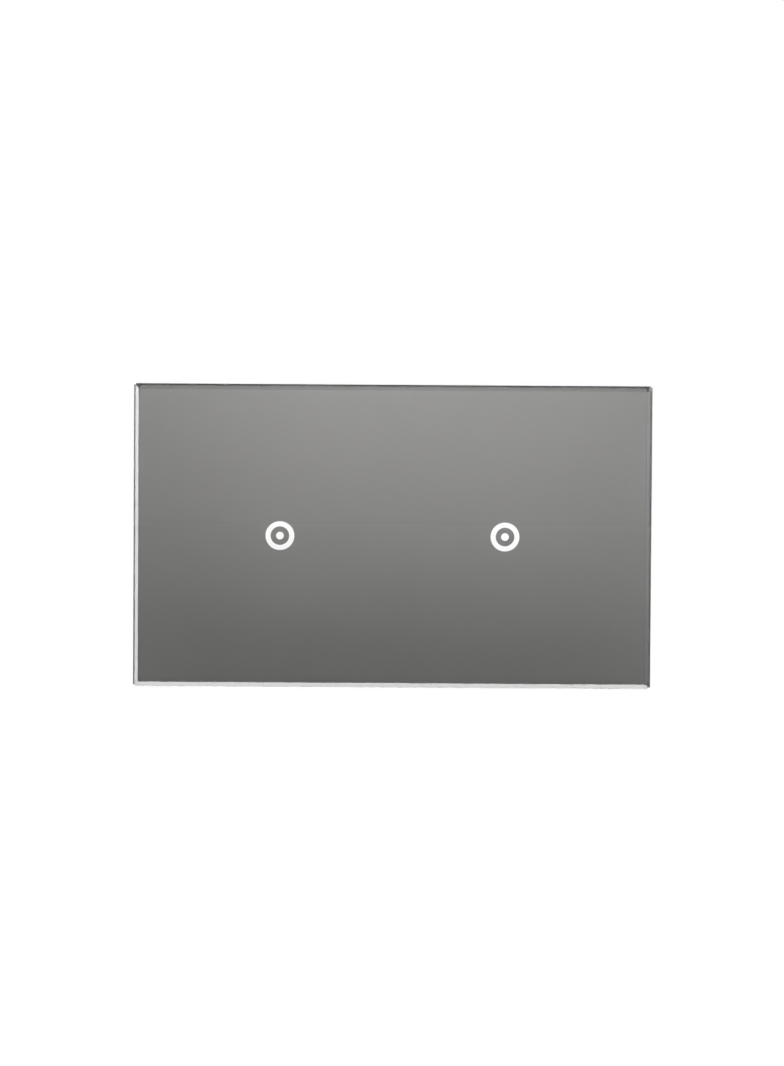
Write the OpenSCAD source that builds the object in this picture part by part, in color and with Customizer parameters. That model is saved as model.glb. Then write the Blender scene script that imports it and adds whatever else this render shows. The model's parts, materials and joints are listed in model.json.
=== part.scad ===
// Two gang touch light switch: a bevelled glass cover on a plastic frame, held by
// leaf springs on a base with two touch modules. All sizes are in millimetres.
// Pieces are drawn as seen from the front: x to the right, y up, z out of the wall,
// with the wall plane at z = 0. Placing them turns the front to -Y and up to +Z.

/* [Glass panel] */
// Width of the glass
panel_w = 147; // [146:1:165]
// Height of the glass
panel_h = 86; // [86:1:100]
// Thickness of the glass
glass_t = 4; // [3:0.5:6]
// Width and depth of the bevel round the front
bevel = 1.7; // [0.5:0.1:2]
// Radius of the glass corners
corner_r = 0.6; // [0.3:0.1:3]
// How far the colour layer stays inside the edge of the glass
print_inset = 1.5; // [0.3:0.1:2]
// Thickness of the colour layer and of the marks in it
print_t = 0.15; // [0.1:0.05:0.4]

/* [Touch marks] */
// Distance between the two marks, and so between the modules
mark_pitch = 64; // [62:1:66]
// Outer diameter of a ring
ring_od = 8.2; // [6:0.1:12]
// Width of the ring's line
ring_line = 1.45; // [0.5:0.05:1.8]
// Diameter of the dot in the ring
dot_d = 2.2; // [1:0.1:2.2]

/* [Panel frame] */
// How far the glass stands out past the frame
frame_inset = 0.2; // [0.2:0.1:1.5]
// Thickness of the skirt
skirt_wall = 2.8; // [1.2:0.1:2.9]
// Thickness of the plate behind the glass
frame_plate_t = 1.5; // [1:0.1:2.5]
// Outer corner radius of the frame
frame_r = 0.3; // [0.3:0.1:3]
// Gap between the skirt and the wall
wall_gap = 0.5; // [0.2:0.1:0.8]
// Thickness of the bonding tape
tape_t = 0.6; // [0.3:0.1:1.2]
// How far the tape stays inside the edge of the frame
tape_inset = 1; // [0.5:0.1:3]
// Hole in frame and tape at each touch point
sensor_hole_d = 18; // [15:0.5:24]
// Width of the notch for levering the cover off
pry_w = 9; // [6:0.5:14]
// Height of that notch
pry_h = 1.2; // [0.8:0.1:1.6]

/* [Base frame] */
// Gap between the base and the skirt
base_gap = 1; // [0.6:0.1:1]
// Width of the base's rim outside the mounting plate
base_rim = 3.6; // [3.2:0.1:4]
// Thickness of the lip that holds a module's flange
base_lip_t = 0.9; // [0.6:0.1:1]
// Outer corner radius of the base
base_r = 1; // [0.5:0.1:2]
// Clear height between the base and the cover
cover_gap = 0.35; // [0.3:0.05:0.8]

/* [Edge springs] */
// Length of a leaf spring from end to end
leaf_l = 15; // [12:0.5:18]
// Thickness of the spring steel
leaf_t = 0.35; // [0.2:0.05:0.4]
// Width of the spring
leaf_w = 2; // [1.5:0.1:2.2]
// Depth of the recess for the spring
leaf_recess = 1.6; // [1.2:0.1:1.8]
// Distance between the springs along the long edges
leaf_pitch = 60; // [50:1:70]
// Solid between a box screw's hole and the springs on either side of it
leaf_land = 3; // [2:0.5:6]

/* [Mounting plate] */
// Thickness of the steel
plate_t = 1.2; // [1:0.1:1.6]
// Corner radius of the plate
plate_r = 2; // [1:0.1:4]
// Distance between the wall box screws
box_pitch = 120.6; // [120:0.1:121]
// Length of a box screw slot
slot_l = 7; // [5:0.1:7]
// Width of a box screw slot
slot_w = 4.2; // [4:0.1:4.6]

/* [Screws] */
// Thread diameter of a box screw
box_screw_d = 3.5; // [3:0.1:3.5]
// Neck diameter of a box screw, where it goes through the plate
box_neck_d = 3; // [2.4:0.1:3]
// Length of a box screw behind the wall plane
box_screw_l = 25; // [15:1:40]
// Head diameter of a box screw
box_head_d = 7; // [6:0.1:7.2]
// Head height of a box screw
box_head_h = 2.2; // [1.6:0.1:2.4]
// Thread diameter of a frame screw
frame_screw_d = 2.5; // [2:0.1:3]
// Head diameter of a frame screw
frame_head_d = 4.8; // [4:0.1:5]
// Distance between the outer frame screws
frame_screw_pitch = 92; // [84:1:96]
// Thread diameter of a module screw
module_screw_d = 2.2; // [1.8:0.1:2.4]
// Head diameter of a module screw
module_head_d = 4; // [3.4:0.1:4.2]
// Length of a module screw in its post
module_screw_bite = 5; // [3:0.5:8]
// Width of a driver slot
drive_w = 0.9; // [0.6:0.1:1.2]
// Depth of a driver slot
drive_t = 0.8; // [0.5:0.1:0.9]

/* [Module housing] */
// Width of a housing
housing_w = 42; // [38:0.5:43]
// Height of a housing
housing_h = 50; // [45:0.5:52]
// Wall thickness of a housing
housing_wall = 1.5; // [1.3:0.1:1.6]
// Ledge that carries the touch board
board_ledge = 0.6; // [0.5:0.05:0.7]
// Width of the flange
flange_w = 2; // [1.5:0.1:2.2]
// Thickness of the flange
flange_t = 1; // [0.8:0.1:1.4]
// Thickness of the module's lid
lid_t = 1.2; // [0.8:0.1:1.5]
// Depth of the rim under the lid
lid_rim_h = 2.2; // [2:0.1:3]
// Wall of the rim under the lid
lid_rim_wall = 1; // [0.6:0.1:1.2]
// Hole in the lid round the sensor
lid_hole_d = 13.4; // [13:0.1:15]
// Side of the posts that carry the power board
post_w = 3.6; // [3:0.1:4]
// Free depth behind the tallest piece on the power board
rear_gap = 1.4; // [1:0.1:4]
// Width of a vent slot
vent_w = 1.6; // [1:0.1:2]
// Length of a vent slot
vent_l = 15; // [8:0.5:16]
// Distance between vent slots
vent_pitch = 3.2; // [2.6:0.1:3.4]
// Depth of the label recess
label_t = 0.3; // [0.2:0.05:0.5]
// Depth of the grip grooves on the sides
groove_t = 0.4; // [0.2:0.05:0.6]
// Width of a grip groove
groove_w = 1.4; // [0.8:0.1:2]
// Distance between grip grooves
groove_pitch = 3.4; // [2.6:0.1:4]

/* [Boards] */
// Thickness of the touch board
touch_board_t = 1.6; // [1:0.1:2]
// Thickness of the power board
power_board_t = 1.6; // [1:0.1:2]
// Distance between the boards
board_gap = 3.6; // [3:0.1:6]
// Free space between the relay's side and the wall
relay_margin = 1.35; // [0.6:0.05:1.5]
// Free space between the relay's end and the posts
relay_top = 0.6; // [0.3:0.1:1]
// Free space between the transformer's side and the wall
transformer_margin = 3.3; // [2.5:0.1:3.6]
// Free space between the transformer's end and the posts
transformer_top = 1.7; // [0.6:0.1:2]
// Free space between the electrolytic capacitor and the wall
capacitor_margin = 3.5; // [2:0.1:4]
// Free space between the film capacitor and the wall
film_margin = 3.6; // [2:0.1:4]
// Length of the touch chip
chip_l = 5; // [4:0.1:6]
// Width of the touch chip's body
chip_w = 4; // [3:0.1:5]
// Height of the touch chip
chip_h = 1.5; // [1:0.1:1.8]
// Side of a header pin
pin_w = 0.64; // [0.5:0.02:0.8]
// Distance between header pins
pin_pitch = 2.54; // [2:0.02:2.54]

/* [Touch sensor] */
// Mean diameter of the sensor spring
sensor_d = 11; // [10.8:0.1:11.4]
// Wire diameter of the sensor spring
sensor_wire = 0.6; // [0.4:0.05:0.6]
// Turns of the sensor spring
sensor_turns = 3.5; // [2.5:0.25:3.5]
// Bend radius at the ends of the spring
sensor_bend = 0.5; // [0.4:0.05:0.6]
// Gap between the spring and the colour layer
sensor_gap = 0.1; // [0.05:0.05:0.3]
// Outer diameter of the light guide
guide_d = 9; // [8:0.1:9.4]
// Wall of the light guide
guide_wall = 1.3; // [0.8:0.1:1.6]
// Gap between the light guide and the colour layer
guide_gap = 0.3; // [0.2:0.05:1]
// Length of the indicator light
led_l = 2; // [1.6:0.1:3]
// Width of the indicator light
led_w = 1.25; // [0.8:0.05:2]
// Height of the indicator light
led_h = 0.8; // [0.4:0.1:1.5]

/* [Relay] */
// Width of the relay
relay_w = 15.5; // [13:0.1:15.6]
// Thickness of the relay's base
relay_base_t = 1.8; // [1.6:0.1:2]
// Wall of the relay's cover
relay_wall = 0.8; // [0.6:0.1:0.9]
// Thickness of the yoke
yoke_t = 1.6; // [1.4:0.1:1.8]
// Width of yoke and armature
armature_w = 8.4; // [7:0.1:9]
// Thickness of the armature
armature_t = 1; // [0.8:0.1:1.2]
// Angle that the armature swings
armature_deg = 4; // [2:0.5:4]
// Diameter of the armature's hinge edge
knuckle_d = 1.2; // [1:0.05:1.3]
// Diameter of the coil's flanges
coil_flange_d = 9.6; // [8:0.1:10]
// Diameter of the winding
coil_d = 9; // [7:0.1:9.4]
// Height of the winding
coil_l = 6.6; // [5:0.1:8]
// Thickness of a coil flange
coil_flange_t = 0.8; // [0.6:0.1:1]
// Diameter of the iron core
core_d = 4; // [3:0.1:4.5]
// Thickness of the contact leaf
contact_leaf_t = 0.4; // [0.3:0.05:0.5]
// Diameter of a contact
contact_d = 2; // [1.6:0.1:2.2]
// Free height over the contacts
relay_head_gap = 0.3; // [0.2:0.1:1]

/* [Power parts] */
// Side of the transformer
transformer_w = 14; // [12:0.5:14]
// Height of the transformer
transformer_h = 13.5; // [12:0.5:15]
// Diameter of the electrolytic capacitor
capacitor_d = 10; // [8:0.5:10]
// Height of the electrolytic capacitor
capacitor_h = 14; // [10:0.5:15]
// Length of the film capacitor
film_l = 13; // [10:0.5:13]
// Width of the film capacitor
film_w = 6; // [4:0.5:6]
// Height of the film capacitor
film_h = 11; // [8:0.5:14]

/* [Terminals] */
// Distance between the terminals of a module
terminal_pitch = 14; // [12:0.5:14]
// Diameter of a wire entry
wire_d = 3.2; // [2.4:0.1:3.2]
// Free height for the wire in an open clamp
wire_space = 3.4; // [3.3:0.1:4]
// Length of a wire entry
entry_l = 3.5; // [2.5:0.1:4]
// Gap between an open clamp and the board
clamp_gap = 0.7; // [0.4:0.1:1.2]
// Travel of the clamp
clamp_travel = 2.4; // [1.6:0.1:2.4]
// Length of the clamp along the wire
clamp_l = 5.4; // [5:0.1:6]
// Side wall of the clamp
clamp_wall = 1.2; // [0.8:0.1:1.4]
// Wall of the clamp that presses on the wire
clamp_front_t = 1.1; // [0.8:0.1:1.4]
// Wall of the clamp that the screw is threaded in
clamp_rear_t = 1.3; // [1:0.1:1.6]
// Width of a terminal bar
bar_w = 4; // [3.6:0.1:4.4]
// Thickness of a terminal bar
bar_t = 0.8; // [0.6:0.1:1]
// Wall of a terminal pod
pod_wall = 1.5; // [1.2:0.1:1.6]
// Thread diameter of a terminal screw
terminal_screw_d = 2.9; // [2.4:0.1:3]
// Head diameter of a terminal screw
terminal_head_d = 5.4; // [5:0.1:5.4]
// Head height of a terminal screw
terminal_head_h = 1.8; // [1.2:0.1:2.2]
// Driver hole behind a terminal screw
driver_hole_d = 4.4; // [3.6:0.1:4.6]

/* [Clearances] */
// Play round pieces that drop into a recess
drop_fit = 0.3; // [0.2:0.05:0.4]
// Play round boards, lids and pods in a housing
board_fit = 0.15; // [0.1:0.05:0.25]
// Play between pieces that slide past each other
slide_fit = 0.2; // [0.1:0.05:0.3]
// Play round a screw in a plain hole
screw_fit = 0.15; // [0.1:0.05:0.25]
// Play between a thread and its hole
thread_fit = 0.05; // [0.02:0.01:0.1]
// Gap at the stop of a moving piece
stop_gap = 0.1; // [0.05:0.05:0.2]
// Gap between leaf spring and skirt, and between contact faces
touch_gap = 0.05; // [0.02:0.01:0.08]

/* [Hidden] */
$fn = 64;
// How far joined shapes run into each other, and how far cuts run past a face
eps = 0.01;
past = 1;

GANGS = ["left", "right"];
TERMINALS = [0, 1];

SHARED_NODES = ["glass_panel", "colour_layer", "touch_marks", "bonding_tape", "panel_frame", "base_frame",
    "mounting_plate", "edge_springs", "frame_screws", "box_screws"];
GANG_NODES = ["module_housing", "module_cover", "touch_board", "touch_chip", "indicator_led", "light_guide",
    "sensor_spring", "power_board", "header_pins", "relay_base", "relay_cover", "relay_coil", "relay_yoke",
    "relay_armature", "relay_contacts", "transformer", "capacitor", "film_capacitor", "terminal_pods",
    "terminal_bars", "module_screws"];
TERMINAL_NODES = ["terminal_screw", "terminal_clamp"];

// Heights above the wall plane
z_plate = plate_t;
z_flange = z_plate + flange_t;
z_lid = z_flange + lid_t;
z_base = z_flange + stop_gap + base_lip_t;
z_box_head = z_plate + box_head_h;
z_frame_under = max(z_lid, z_base, z_box_head) + cover_gap;
z_frame = z_frame_under + frame_plate_t;
z_tape = z_frame + tape_t;
z_print = z_tape + print_t;
z_glass = z_print + glass_t;

// Outlines of cover, base and plate
frame_w = panel_w - 2 * frame_inset;
frame_h = panel_h - 2 * frame_inset;
skirt_in_w = frame_w - 2 * skirt_wall;
skirt_in_h = frame_h - 2 * skirt_wall;
base_w = skirt_in_w - 2 * base_gap;
base_h = skirt_in_h - 2 * base_gap;
plate_hole_w = base_w - 2 * base_rim;
plate_hole_h = base_h - 2 * base_rim;
plate_w = plate_hole_w - 2 * board_fit;
plate_h = plate_hole_h - 2 * board_fit;
flange_out_w = housing_w + 2 * flange_w;
flange_out_h = housing_h + 2 * flange_w;
frame_screw_y = (plate_h + flange_out_h) / 4;
box_hole_w = box_head_d + 2 * drop_fit;
leaf_side_x = box_hole_w / 2 + leaf_land + leaf_l / 2 + drop_fit;

// Relay sizes, with v along the relay and h behind the power board
relay_fit = 0.1;
yoke_margin = 1.5;
coil_gap = 1.1;
armature_over = 1.5;
contact_over = 1.4;
contact_margin = 0.5;
pole_over = 0.3;
knuckle_drop = 0.1;
yoke_drop = 0.15;
rivet_over = 0.5;
contact_arm_t = 0.6;
contact_post_w = 1.2;
contact_post_u = (armature_w - contact_post_w) / 2;
contact_leaf_w = contact_d + 1;
relay_l = 2 * relay_wall + yoke_margin + yoke_t + coil_gap + coil_flange_d + armature_over + contact_over
    + contact_d / 2 + contact_margin;
v_hinge = -relay_l / 2 + relay_wall + yoke_margin + yoke_t / 2;
v_coil = v_hinge + yoke_t / 2 + coil_gap + coil_flange_d / 2;
v_armature_end = v_coil + coil_flange_d / 2 + armature_over;
v_contact = v_armature_end + contact_over;
h_foot = relay_base_t + yoke_t;
h_winding = h_foot + coil_flange_t;
h_winding_end = h_winding + coil_l;
h_coil_end = h_winding_end + coil_flange_t;
h_pole = h_coil_end + pole_over;
h_armature = h_pole + (v_coil + core_d / 2 - v_hinge) * tan(armature_deg) + touch_gap;
h_armature_end = h_armature + armature_t;
h_hinge = h_armature - knuckle_drop;
h_yoke_end = h_hinge - yoke_drop;
h_leaf_end = h_armature_end + contact_leaf_t;
h_rivet = h_armature_end - rivet_over;
h_rivet_end = h_leaf_end + rivet_over;
h_open = h_rivet - (v_contact + contact_d / 2 - v_hinge) * tan(armature_deg) - 2 * touch_gap;
h_closed = h_rivet_end + touch_gap;
relay_h = h_closed + contact_arm_t + relay_head_gap + relay_wall;

// Levels inside a module
z_touch = z_flange - lid_rim_h;
z_touch_back = z_touch - touch_board_t;
z_power = z_touch_back - board_gap;
z_power_back = z_power - power_board_t;
room_w = housing_w - 2 * housing_wall;
room_h = housing_h - 2 * housing_wall;
touch_room_w = room_w + 2 * board_ledge;
touch_room_h = room_h + 2 * board_ledge;
tallest = max(relay_h, transformer_h, capacitor_h, film_h);
z_rear_in = z_power_back - tallest - rear_gap;
z_rear = z_rear_in - housing_wall;

// Terminal sizes, with h the distance behind the power board
h_clamp = clamp_gap;
h_wire = h_clamp + clamp_front_t;
h_bar = h_wire + wire_space;
h_bar_back = h_bar + bar_t;
h_clamp_rear = h_bar_back + stop_gap;
h_clamp_end = h_clamp_rear + clamp_rear_t;
h_head = h_clamp_end + clamp_travel + stop_gap;
h_head_end = h_head + terminal_head_h;
h_pod_in = h_head_end + stop_gap;
h_pod = h_pod_in + pod_wall;
z_step_in = z_power_back - h_pod - stop_gap;
z_step = z_step_in - housing_wall;
clamp_in_w = bar_w + 2 * slide_fit;
clamp_w = clamp_in_w + 2 * clamp_wall;
chamber_w = clamp_w + 2 * slide_fit;
pod_w = chamber_w + 2 * pod_wall;
y_pod = -housing_h / 2;
y_chamber = y_pod + entry_l;
y_clamp = y_chamber + slide_fit;
y_screw = y_clamp + clamp_l / 2;
y_leg = max(y_clamp + clamp_l, y_screw + terminal_head_d / 2) + drop_fit;
y_chamber_end = y_leg + bar_t + slide_fit;
y_pod_end = y_chamber_end + pod_wall;
y_step = y_pod_end + slide_fit;

// Places on the boards
y_posts = room_h / 2 - post_w;
y_relay_end = y_posts - relay_top - relay_l;
y_transformer_end = y_posts - transformer_top - transformer_w;
relay_at = [relay_margin + (relay_w - room_w) / 2, y_relay_end + relay_l / 2];
film_at = [film_margin + (film_l - room_w) / 2, (y_relay_end + y_step) / 2];
transformer_at = [(room_w - transformer_w) / 2 - transformer_margin, y_transformer_end + transformer_w / 2];
capacitor_at = [(room_w - capacitor_d) / 2 - capacitor_margin, (y_transformer_end + y_step + housing_wall) / 2];
header_at = relay_at + [1.4, 4.6];
chip_at = [-11, -12];
HEADER_PINS = 4;
VENTS = 5;
GROOVES = 4;
post_x = (room_w - post_w) / 2;
post_y = (room_h - post_w) / 2;

// Path of the sensor spring: a straight leg, a bend, the turns, a bend and a leg
sensor_h = z_tape - sensor_gap - z_touch;
sensor_r = sensor_d / 2;
sensor_leg = sensor_wire;
sensor_rise = sensor_h - 2 * (sensor_leg + sensor_bend);
CURL_STEPS = 8;
BEND_STEPS = 3;
WIRE_SIDES = 6;
turn_steps = round(sensor_turns * CURL_STEPS);
sensor_end = 360 * sensor_turns;
sensor_pitch = sensor_rise / sensor_turns;

function out_dir(a) = [cos(a), sin(a), 0];
function along_dir(a) = [-sin(a), cos(a), 0];
function bend_point(a, end, q) = sensor_r * out_dir(a)
    + (end == 0 ? [0, 0, sensor_leg + sensor_bend] : [0, 0, sensor_h - sensor_leg - sensor_bend])
    + (end == 0 ? -sensor_bend * (1 - sin(q)) * along_dir(a) - [0, 0, sensor_bend * cos(q)]
        : sensor_bend * sin(q) * along_dir(a) + [0, 0, sensor_bend * (1 - cos(q))]);
function bend_dir(a, end, q) = end == 0 ? sin(q) * along_dir(a) + [0, 0, cos(q)]
    : cos(q) * along_dir(a) + [0, 0, sin(q)];
function turn_dir(a) = let (d = along_dir(a) + [0, 0, sensor_pitch / (2 * PI * sensor_r)]) d / norm(d);

// Each step of the path: its point, its direction and the angle round the spring
SENSOR_PATH = concat(
    [[bend_point(0, 0, 0) - [0, 0, sensor_leg], [0, 0, 1], 0]],
    [for (k = [0 : BEND_STEPS - 1]) let (q = 90 * k / BEND_STEPS) [bend_point(0, 0, q), bend_dir(0, 0, q), 0]],
    [for (k = [0 : turn_steps]) let (a = sensor_end * k / turn_steps)
        [sensor_r * out_dir(a) + [0, 0, sensor_leg + sensor_bend + sensor_rise * k / turn_steps], turn_dir(a), a]],
    [for (k = [1 : BEND_STEPS]) let (q = 90 * k / BEND_STEPS)
        [bend_point(sensor_end, 1, q), bend_dir(sensor_end, 1, q), sensor_end]],
    [[bend_point(sensor_end, 1, 90) + [0, 0, sensor_leg], [0, 0, 1], sensor_end]]);
sensor_self_gap = min([for (i = [0 : len(SENSOR_PATH) - 1], j = [0 : len(SENSOR_PATH) - 1])
    if (j - i > CURL_STEPS / 2) norm(SENSOR_PATH[i][0] - SENSOR_PATH[j][0])]) - sensor_wire;
echo(sensor_self_gap = sensor_self_gap);

function gang_x(gang) = (gang == GANGS[0] ? -1 : 1) * mark_pitch / 2;
function terminal_x(t) = (t - (len(TERMINALS) - 1) / 2) * terminal_pitch;

// Shared shapes

module rounded(w, h, r) {
    square([w - 2 * r, h], center = true);
    square([w, h - 2 * r], center = true);
    for (sx = [-1, 1], sy = [-1, 1])
        translate([sx * (w / 2 - r), sy * (h / 2 - r)]) circle(r);
}

module slab(w, h, r, z0, z1) {
    translate([0, 0, z0]) linear_extrude(z1 - z0) rounded(w, h, r);
}

module block(x0, x1, y0, y1, z0, z1) {
    translate([x0, y0, z0]) cube([x1 - x0, y1 - y0, z1 - z0]);
}

module rod(d, z0, z1) {
    translate([0, 0, z0]) cylinder(d = d, h = z1 - z0);
}

module slot_hole(l, w, z0, z1) {
    travel = l - w;
    for (s = [-1, 1]) translate([s * travel / 2, 0, 0]) rod(w, z0, z1);
    block(-travel / 2, travel / 2, -w / 2, w / 2, z0, z1);
}

module at_marks() {
    for (gang = GANGS) translate([gang_x(gang), 0, 0]) children();
}

module at_box_screws() {
    for (s = [-1, 1]) translate([s * box_pitch / 2, 0, 0]) children();
}

module at_frame_screws() {
    for (x = [-frame_screw_pitch / 2, 0, frame_screw_pitch / 2], s = [-1, 1])
        translate([x, s * frame_screw_y, 0]) children();
}

// Each leaf spring's place: on the base's edge, turned so that +y points outward
module at_leaves() {
    for (s = [-1, 1], x = [-leaf_pitch / 2, leaf_pitch / 2])
        rotate([0, 0, s > 0 ? 0 : 180]) translate([x, base_h / 2, 0]) children();
    for (s = [-1, 1], x = [-leaf_side_x, leaf_side_x])
        rotate([0, 0, -90 * s]) translate([x, base_w / 2, 0]) children();
}

module behind_board() {
    translate([0, 0, z_power_back]) mirror([0, 0, 1]) children();
}

module at_terminals() {
    for (t = TERMINALS) translate([terminal_x(t), 0, 0]) children();
}

// Cover

module bevel_cut(length, half) {
    translate([0, half, z_glass]) rotate([90, 0, 90]) linear_extrude(length, center = true)
        polygon([[-bevel - past, past], [past, past], [past, -bevel - past]]);
}

module glass_panel() {
    color("LightCyan", 0.6) difference() {
        slab(panel_w, panel_h, corner_r, z_print, z_glass);
        for (s = [0, 180]) rotate([0, 0, s]) {
            bevel_cut(panel_w + 2 * past, panel_h / 2);
            rotate([0, 0, 90]) bevel_cut(panel_h + 2 * past, panel_w / 2);
        }
    }
}

module ring_mark(z0, z1) {
    difference() {
        rod(ring_od, z0, z1);
        rod(ring_od - 2 * ring_line, z0 - eps, z1 + eps);
    }
    rod(dot_d, z0, z1);
}

module colour_layer() {
    color("Gray") difference() {
        slab(panel_w - 2 * print_inset, panel_h - 2 * print_inset, corner_r, z_tape, z_print);
        at_marks() ring_mark(z_tape - eps, z_print + eps);
    }
}

module touch_marks() {
    color("White") at_marks() ring_mark(z_tape, z_print);
}

module bonding_tape() {
    color("DimGray") difference() {
        slab(frame_w - 2 * tape_inset, frame_h - 2 * tape_inset, frame_r, z_frame, z_tape);
        at_marks() rod(sensor_hole_d, z_frame - eps, z_tape + eps);
    }
}

module panel_frame() {
    color([0.22, 0.22, 0.23]) difference() {
        slab(frame_w, frame_h, frame_r, wall_gap, z_frame);
        block(-skirt_in_w / 2, skirt_in_w / 2, -skirt_in_h / 2, skirt_in_h / 2, wall_gap - past, z_frame_under);
        at_marks() rod(sensor_hole_d, z_frame_under - eps, z_frame + eps);
        block(-pry_w / 2, pry_w / 2, -frame_h / 2 - past, -skirt_in_h / 2 + eps, wall_gap - past, wall_gap + pry_h);
    }
}

// Base

module base_frame() {
    color("WhiteSmoke") difference() {
        slab(base_w, base_h, base_r, 0, z_base);
        block(-plate_hole_w / 2, plate_hole_w / 2, -plate_hole_h / 2, plate_hole_h / 2, -past, z_plate);
        at_marks() {
            module_hole(flange_out_w, flange_out_h, z_plate - eps, z_flange + stop_gap);
            module_hole(housing_w, housing_h, z_flange, z_base + past);
        }
        at_box_screws() slot_hole(box_hole_w + slot_l - slot_w, box_hole_w, -past, z_base + past);
        at_frame_screws() countersunk_hole(frame_screw_d, frame_head_d, z_plate - eps, z_base);
        at_leaves() block(-leaf_l / 2 - drop_fit, leaf_l / 2 + drop_fit, -leaf_recess, past, -past, z_base + past);
    }
}

module module_hole(w, h, z0, z1) {
    block(-w / 2 - drop_fit, w / 2 + drop_fit, -h / 2 - drop_fit, h / 2 + drop_fit, z0, z1);
}

// A countersunk screw from its tip at z0 to the flat of its head at z1
module countersunk(d, head_d, z0, z1) {
    cone = (head_d - d) / 2;
    rod(d, z0, z1 - cone + eps);
    translate([0, 0, z1 - cone]) cylinder(d1 = d, d2 = head_d, h = cone);
}

// The hole for such a screw, with its mouth in the face at z1
module countersunk_hole(d, head_d, z0, z1) {
    countersunk(d + 2 * screw_fit, head_d + 2 * screw_fit, z0, z1);
    rod(head_d + 2 * screw_fit, z1 - eps, z1 + past);
}

module driver_slot(head_d, z1) {
    block(-head_d, head_d, -drive_w / 2, drive_w / 2, z1 - drive_t, z1 + past);
}

module mounting_plate() {
    color("Silver") difference() {
        slab(plate_w, plate_h, plate_r, 0, z_plate);
        at_marks() module_hole(housing_w, housing_h, -past, z_plate + past);
        at_box_screws() slot_hole(slot_l, slot_w, -past, z_plate + past);
        at_frame_screws() rod(frame_screw_d + 2 * thread_fit, -past, z_plate + past);
    }
}

// A leaf is an arc of strip that rests on its two ends and bows out to the skirt
module edge_springs() {
    rise = leaf_recess + base_gap - touch_gap;
    bow = rise - leaf_t;
    arc_r = (leaf_l * leaf_l / 4 + bow * bow) / (2 * bow);
    color("LightSteelBlue") at_leaves()
        translate([0, -leaf_recess, z_base / 2]) linear_extrude(leaf_w, center = true)
            intersection() {
                difference() {
                    translate([0, rise - arc_r]) circle(arc_r, $fn = 160);
                    translate([0, rise - arc_r]) circle(arc_r - leaf_t, $fn = 160);
                }
                translate([-leaf_l / 2, 0]) square([leaf_l, rise + past]);
            }
}

module frame_screws() {
    color("Silver") at_frame_screws() difference() {
        countersunk(frame_screw_d, frame_head_d, stop_gap, z_base);
        driver_slot(frame_head_d, z_base);
    }
}

module box_screws() {
    tip = box_screw_d / 4;
    color("Silver") at_box_screws() difference() {
        union() {
            rod(box_head_d, z_plate, z_box_head);
            rod(box_neck_d, -eps, z_plate + eps);
            rod(box_screw_d, -box_screw_l + tip, 0);
            translate([0, 0, -box_screw_l])
                cylinder(d1 = box_screw_d - 2 * tip, d2 = box_screw_d, h = tip);
        }
        driver_slot(box_head_d, z_box_head);
    }
}

// Module casing

module module_housing() {
    half_w = housing_w / 2;
    color("WhiteSmoke") difference() {
        union() {
            block(-flange_out_w / 2, flange_out_w / 2, -flange_out_h / 2, flange_out_h / 2, z_plate, z_flange);
            block(-half_w, half_w, -housing_h / 2, y_step + housing_wall, z_step, z_flange);
            block(-half_w, half_w, y_step, housing_h / 2, z_rear, z_flange);
        }
        difference() {
            union() {
                block(-room_w / 2, room_w / 2, -room_h / 2, y_step + housing_wall + eps, z_step_in, z_flange);
                block(-room_w / 2, room_w / 2, y_step + housing_wall, room_h / 2, z_rear_in, z_flange);
            }
            housing_posts();
        }
        block(-touch_room_w / 2, touch_room_w / 2, -touch_room_h / 2, touch_room_h / 2, z_touch_back, z_flange + past);
        at_terminals() {
            block(-pod_w / 2 - board_fit, pod_w / 2 + board_fit, y_pod - past, y_pod + housing_wall + eps,
                z_power_back - h_pod - stop_gap, z_power_back + stop_gap);
            translate([0, y_screw, 0]) rod(driver_hole_d, z_step - past, z_step_in + eps);
        }
        at_posts() rod(module_screw_d + 2 * thread_fit, z_power_back - module_screw_bite - stop_gap,
            z_power_back + eps);
        at_vents() {
            block(-vent_w / 2, vent_w / 2, transformer_at[1] - vent_l / 2, transformer_at[1] + vent_l / 2,
                z_rear - past, z_rear_in + eps);
            block(-vent_w / 2, vent_w / 2, room_h / 2 - eps, housing_h / 2 + past,
                z_rear_in + vent_w, z_rear_in + vent_l / 2);
        }
        translate([relay_at[0], relay_at[1], 0])
            block(-relay_w / 2, relay_w / 2, -relay_l / 2, relay_l / 2, z_rear - past, z_rear + label_t);
        for (s = [-1, 1], k = [0 : GROOVES - 1])
            translate([s * half_w, relay_at[1] + (k - (GROOVES - 1) / 2) * groove_pitch, 0])
                block(-groove_t, groove_t, -groove_w / 2, groove_w / 2, z_rear + vent_w, z_power_back);
    }
}

module at_vents() {
    for (k = [0 : VENTS - 1]) translate([transformer_at[0] + (k - (VENTS - 1) / 2) * vent_pitch, 0, 0]) children();
}

module at_posts() {
    for (sx = [-1, 1], sy = [-1, 1]) translate([sx * post_x, sy * post_y, 0]) children();
}

module housing_posts() {
    at_posts() block(-post_w / 2, post_w / 2, -post_w / 2, post_w / 2, z_rear - past, z_power_back);
}

module module_cover() {
    rim_w = touch_room_w - 2 * board_fit;
    rim_h = touch_room_h - 2 * board_fit;
    color("WhiteSmoke") difference() {
        union() {
            block(-housing_w / 2, housing_w / 2, -housing_h / 2, housing_h / 2, z_flange, z_lid);
            block(-rim_w / 2, rim_w / 2, -rim_h / 2, rim_h / 2, z_touch, z_flange + eps);
        }
        block(-rim_w / 2 + lid_rim_wall, rim_w / 2 - lid_rim_wall, -rim_h / 2 + lid_rim_wall,
            rim_h / 2 - lid_rim_wall, z_touch - past, z_flange);
        rod(lid_hole_d, z_flange - eps, z_lid + past);
        at_posts() countersunk_hole(module_screw_d, module_head_d, z_flange - eps, z_lid);
    }
}

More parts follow.
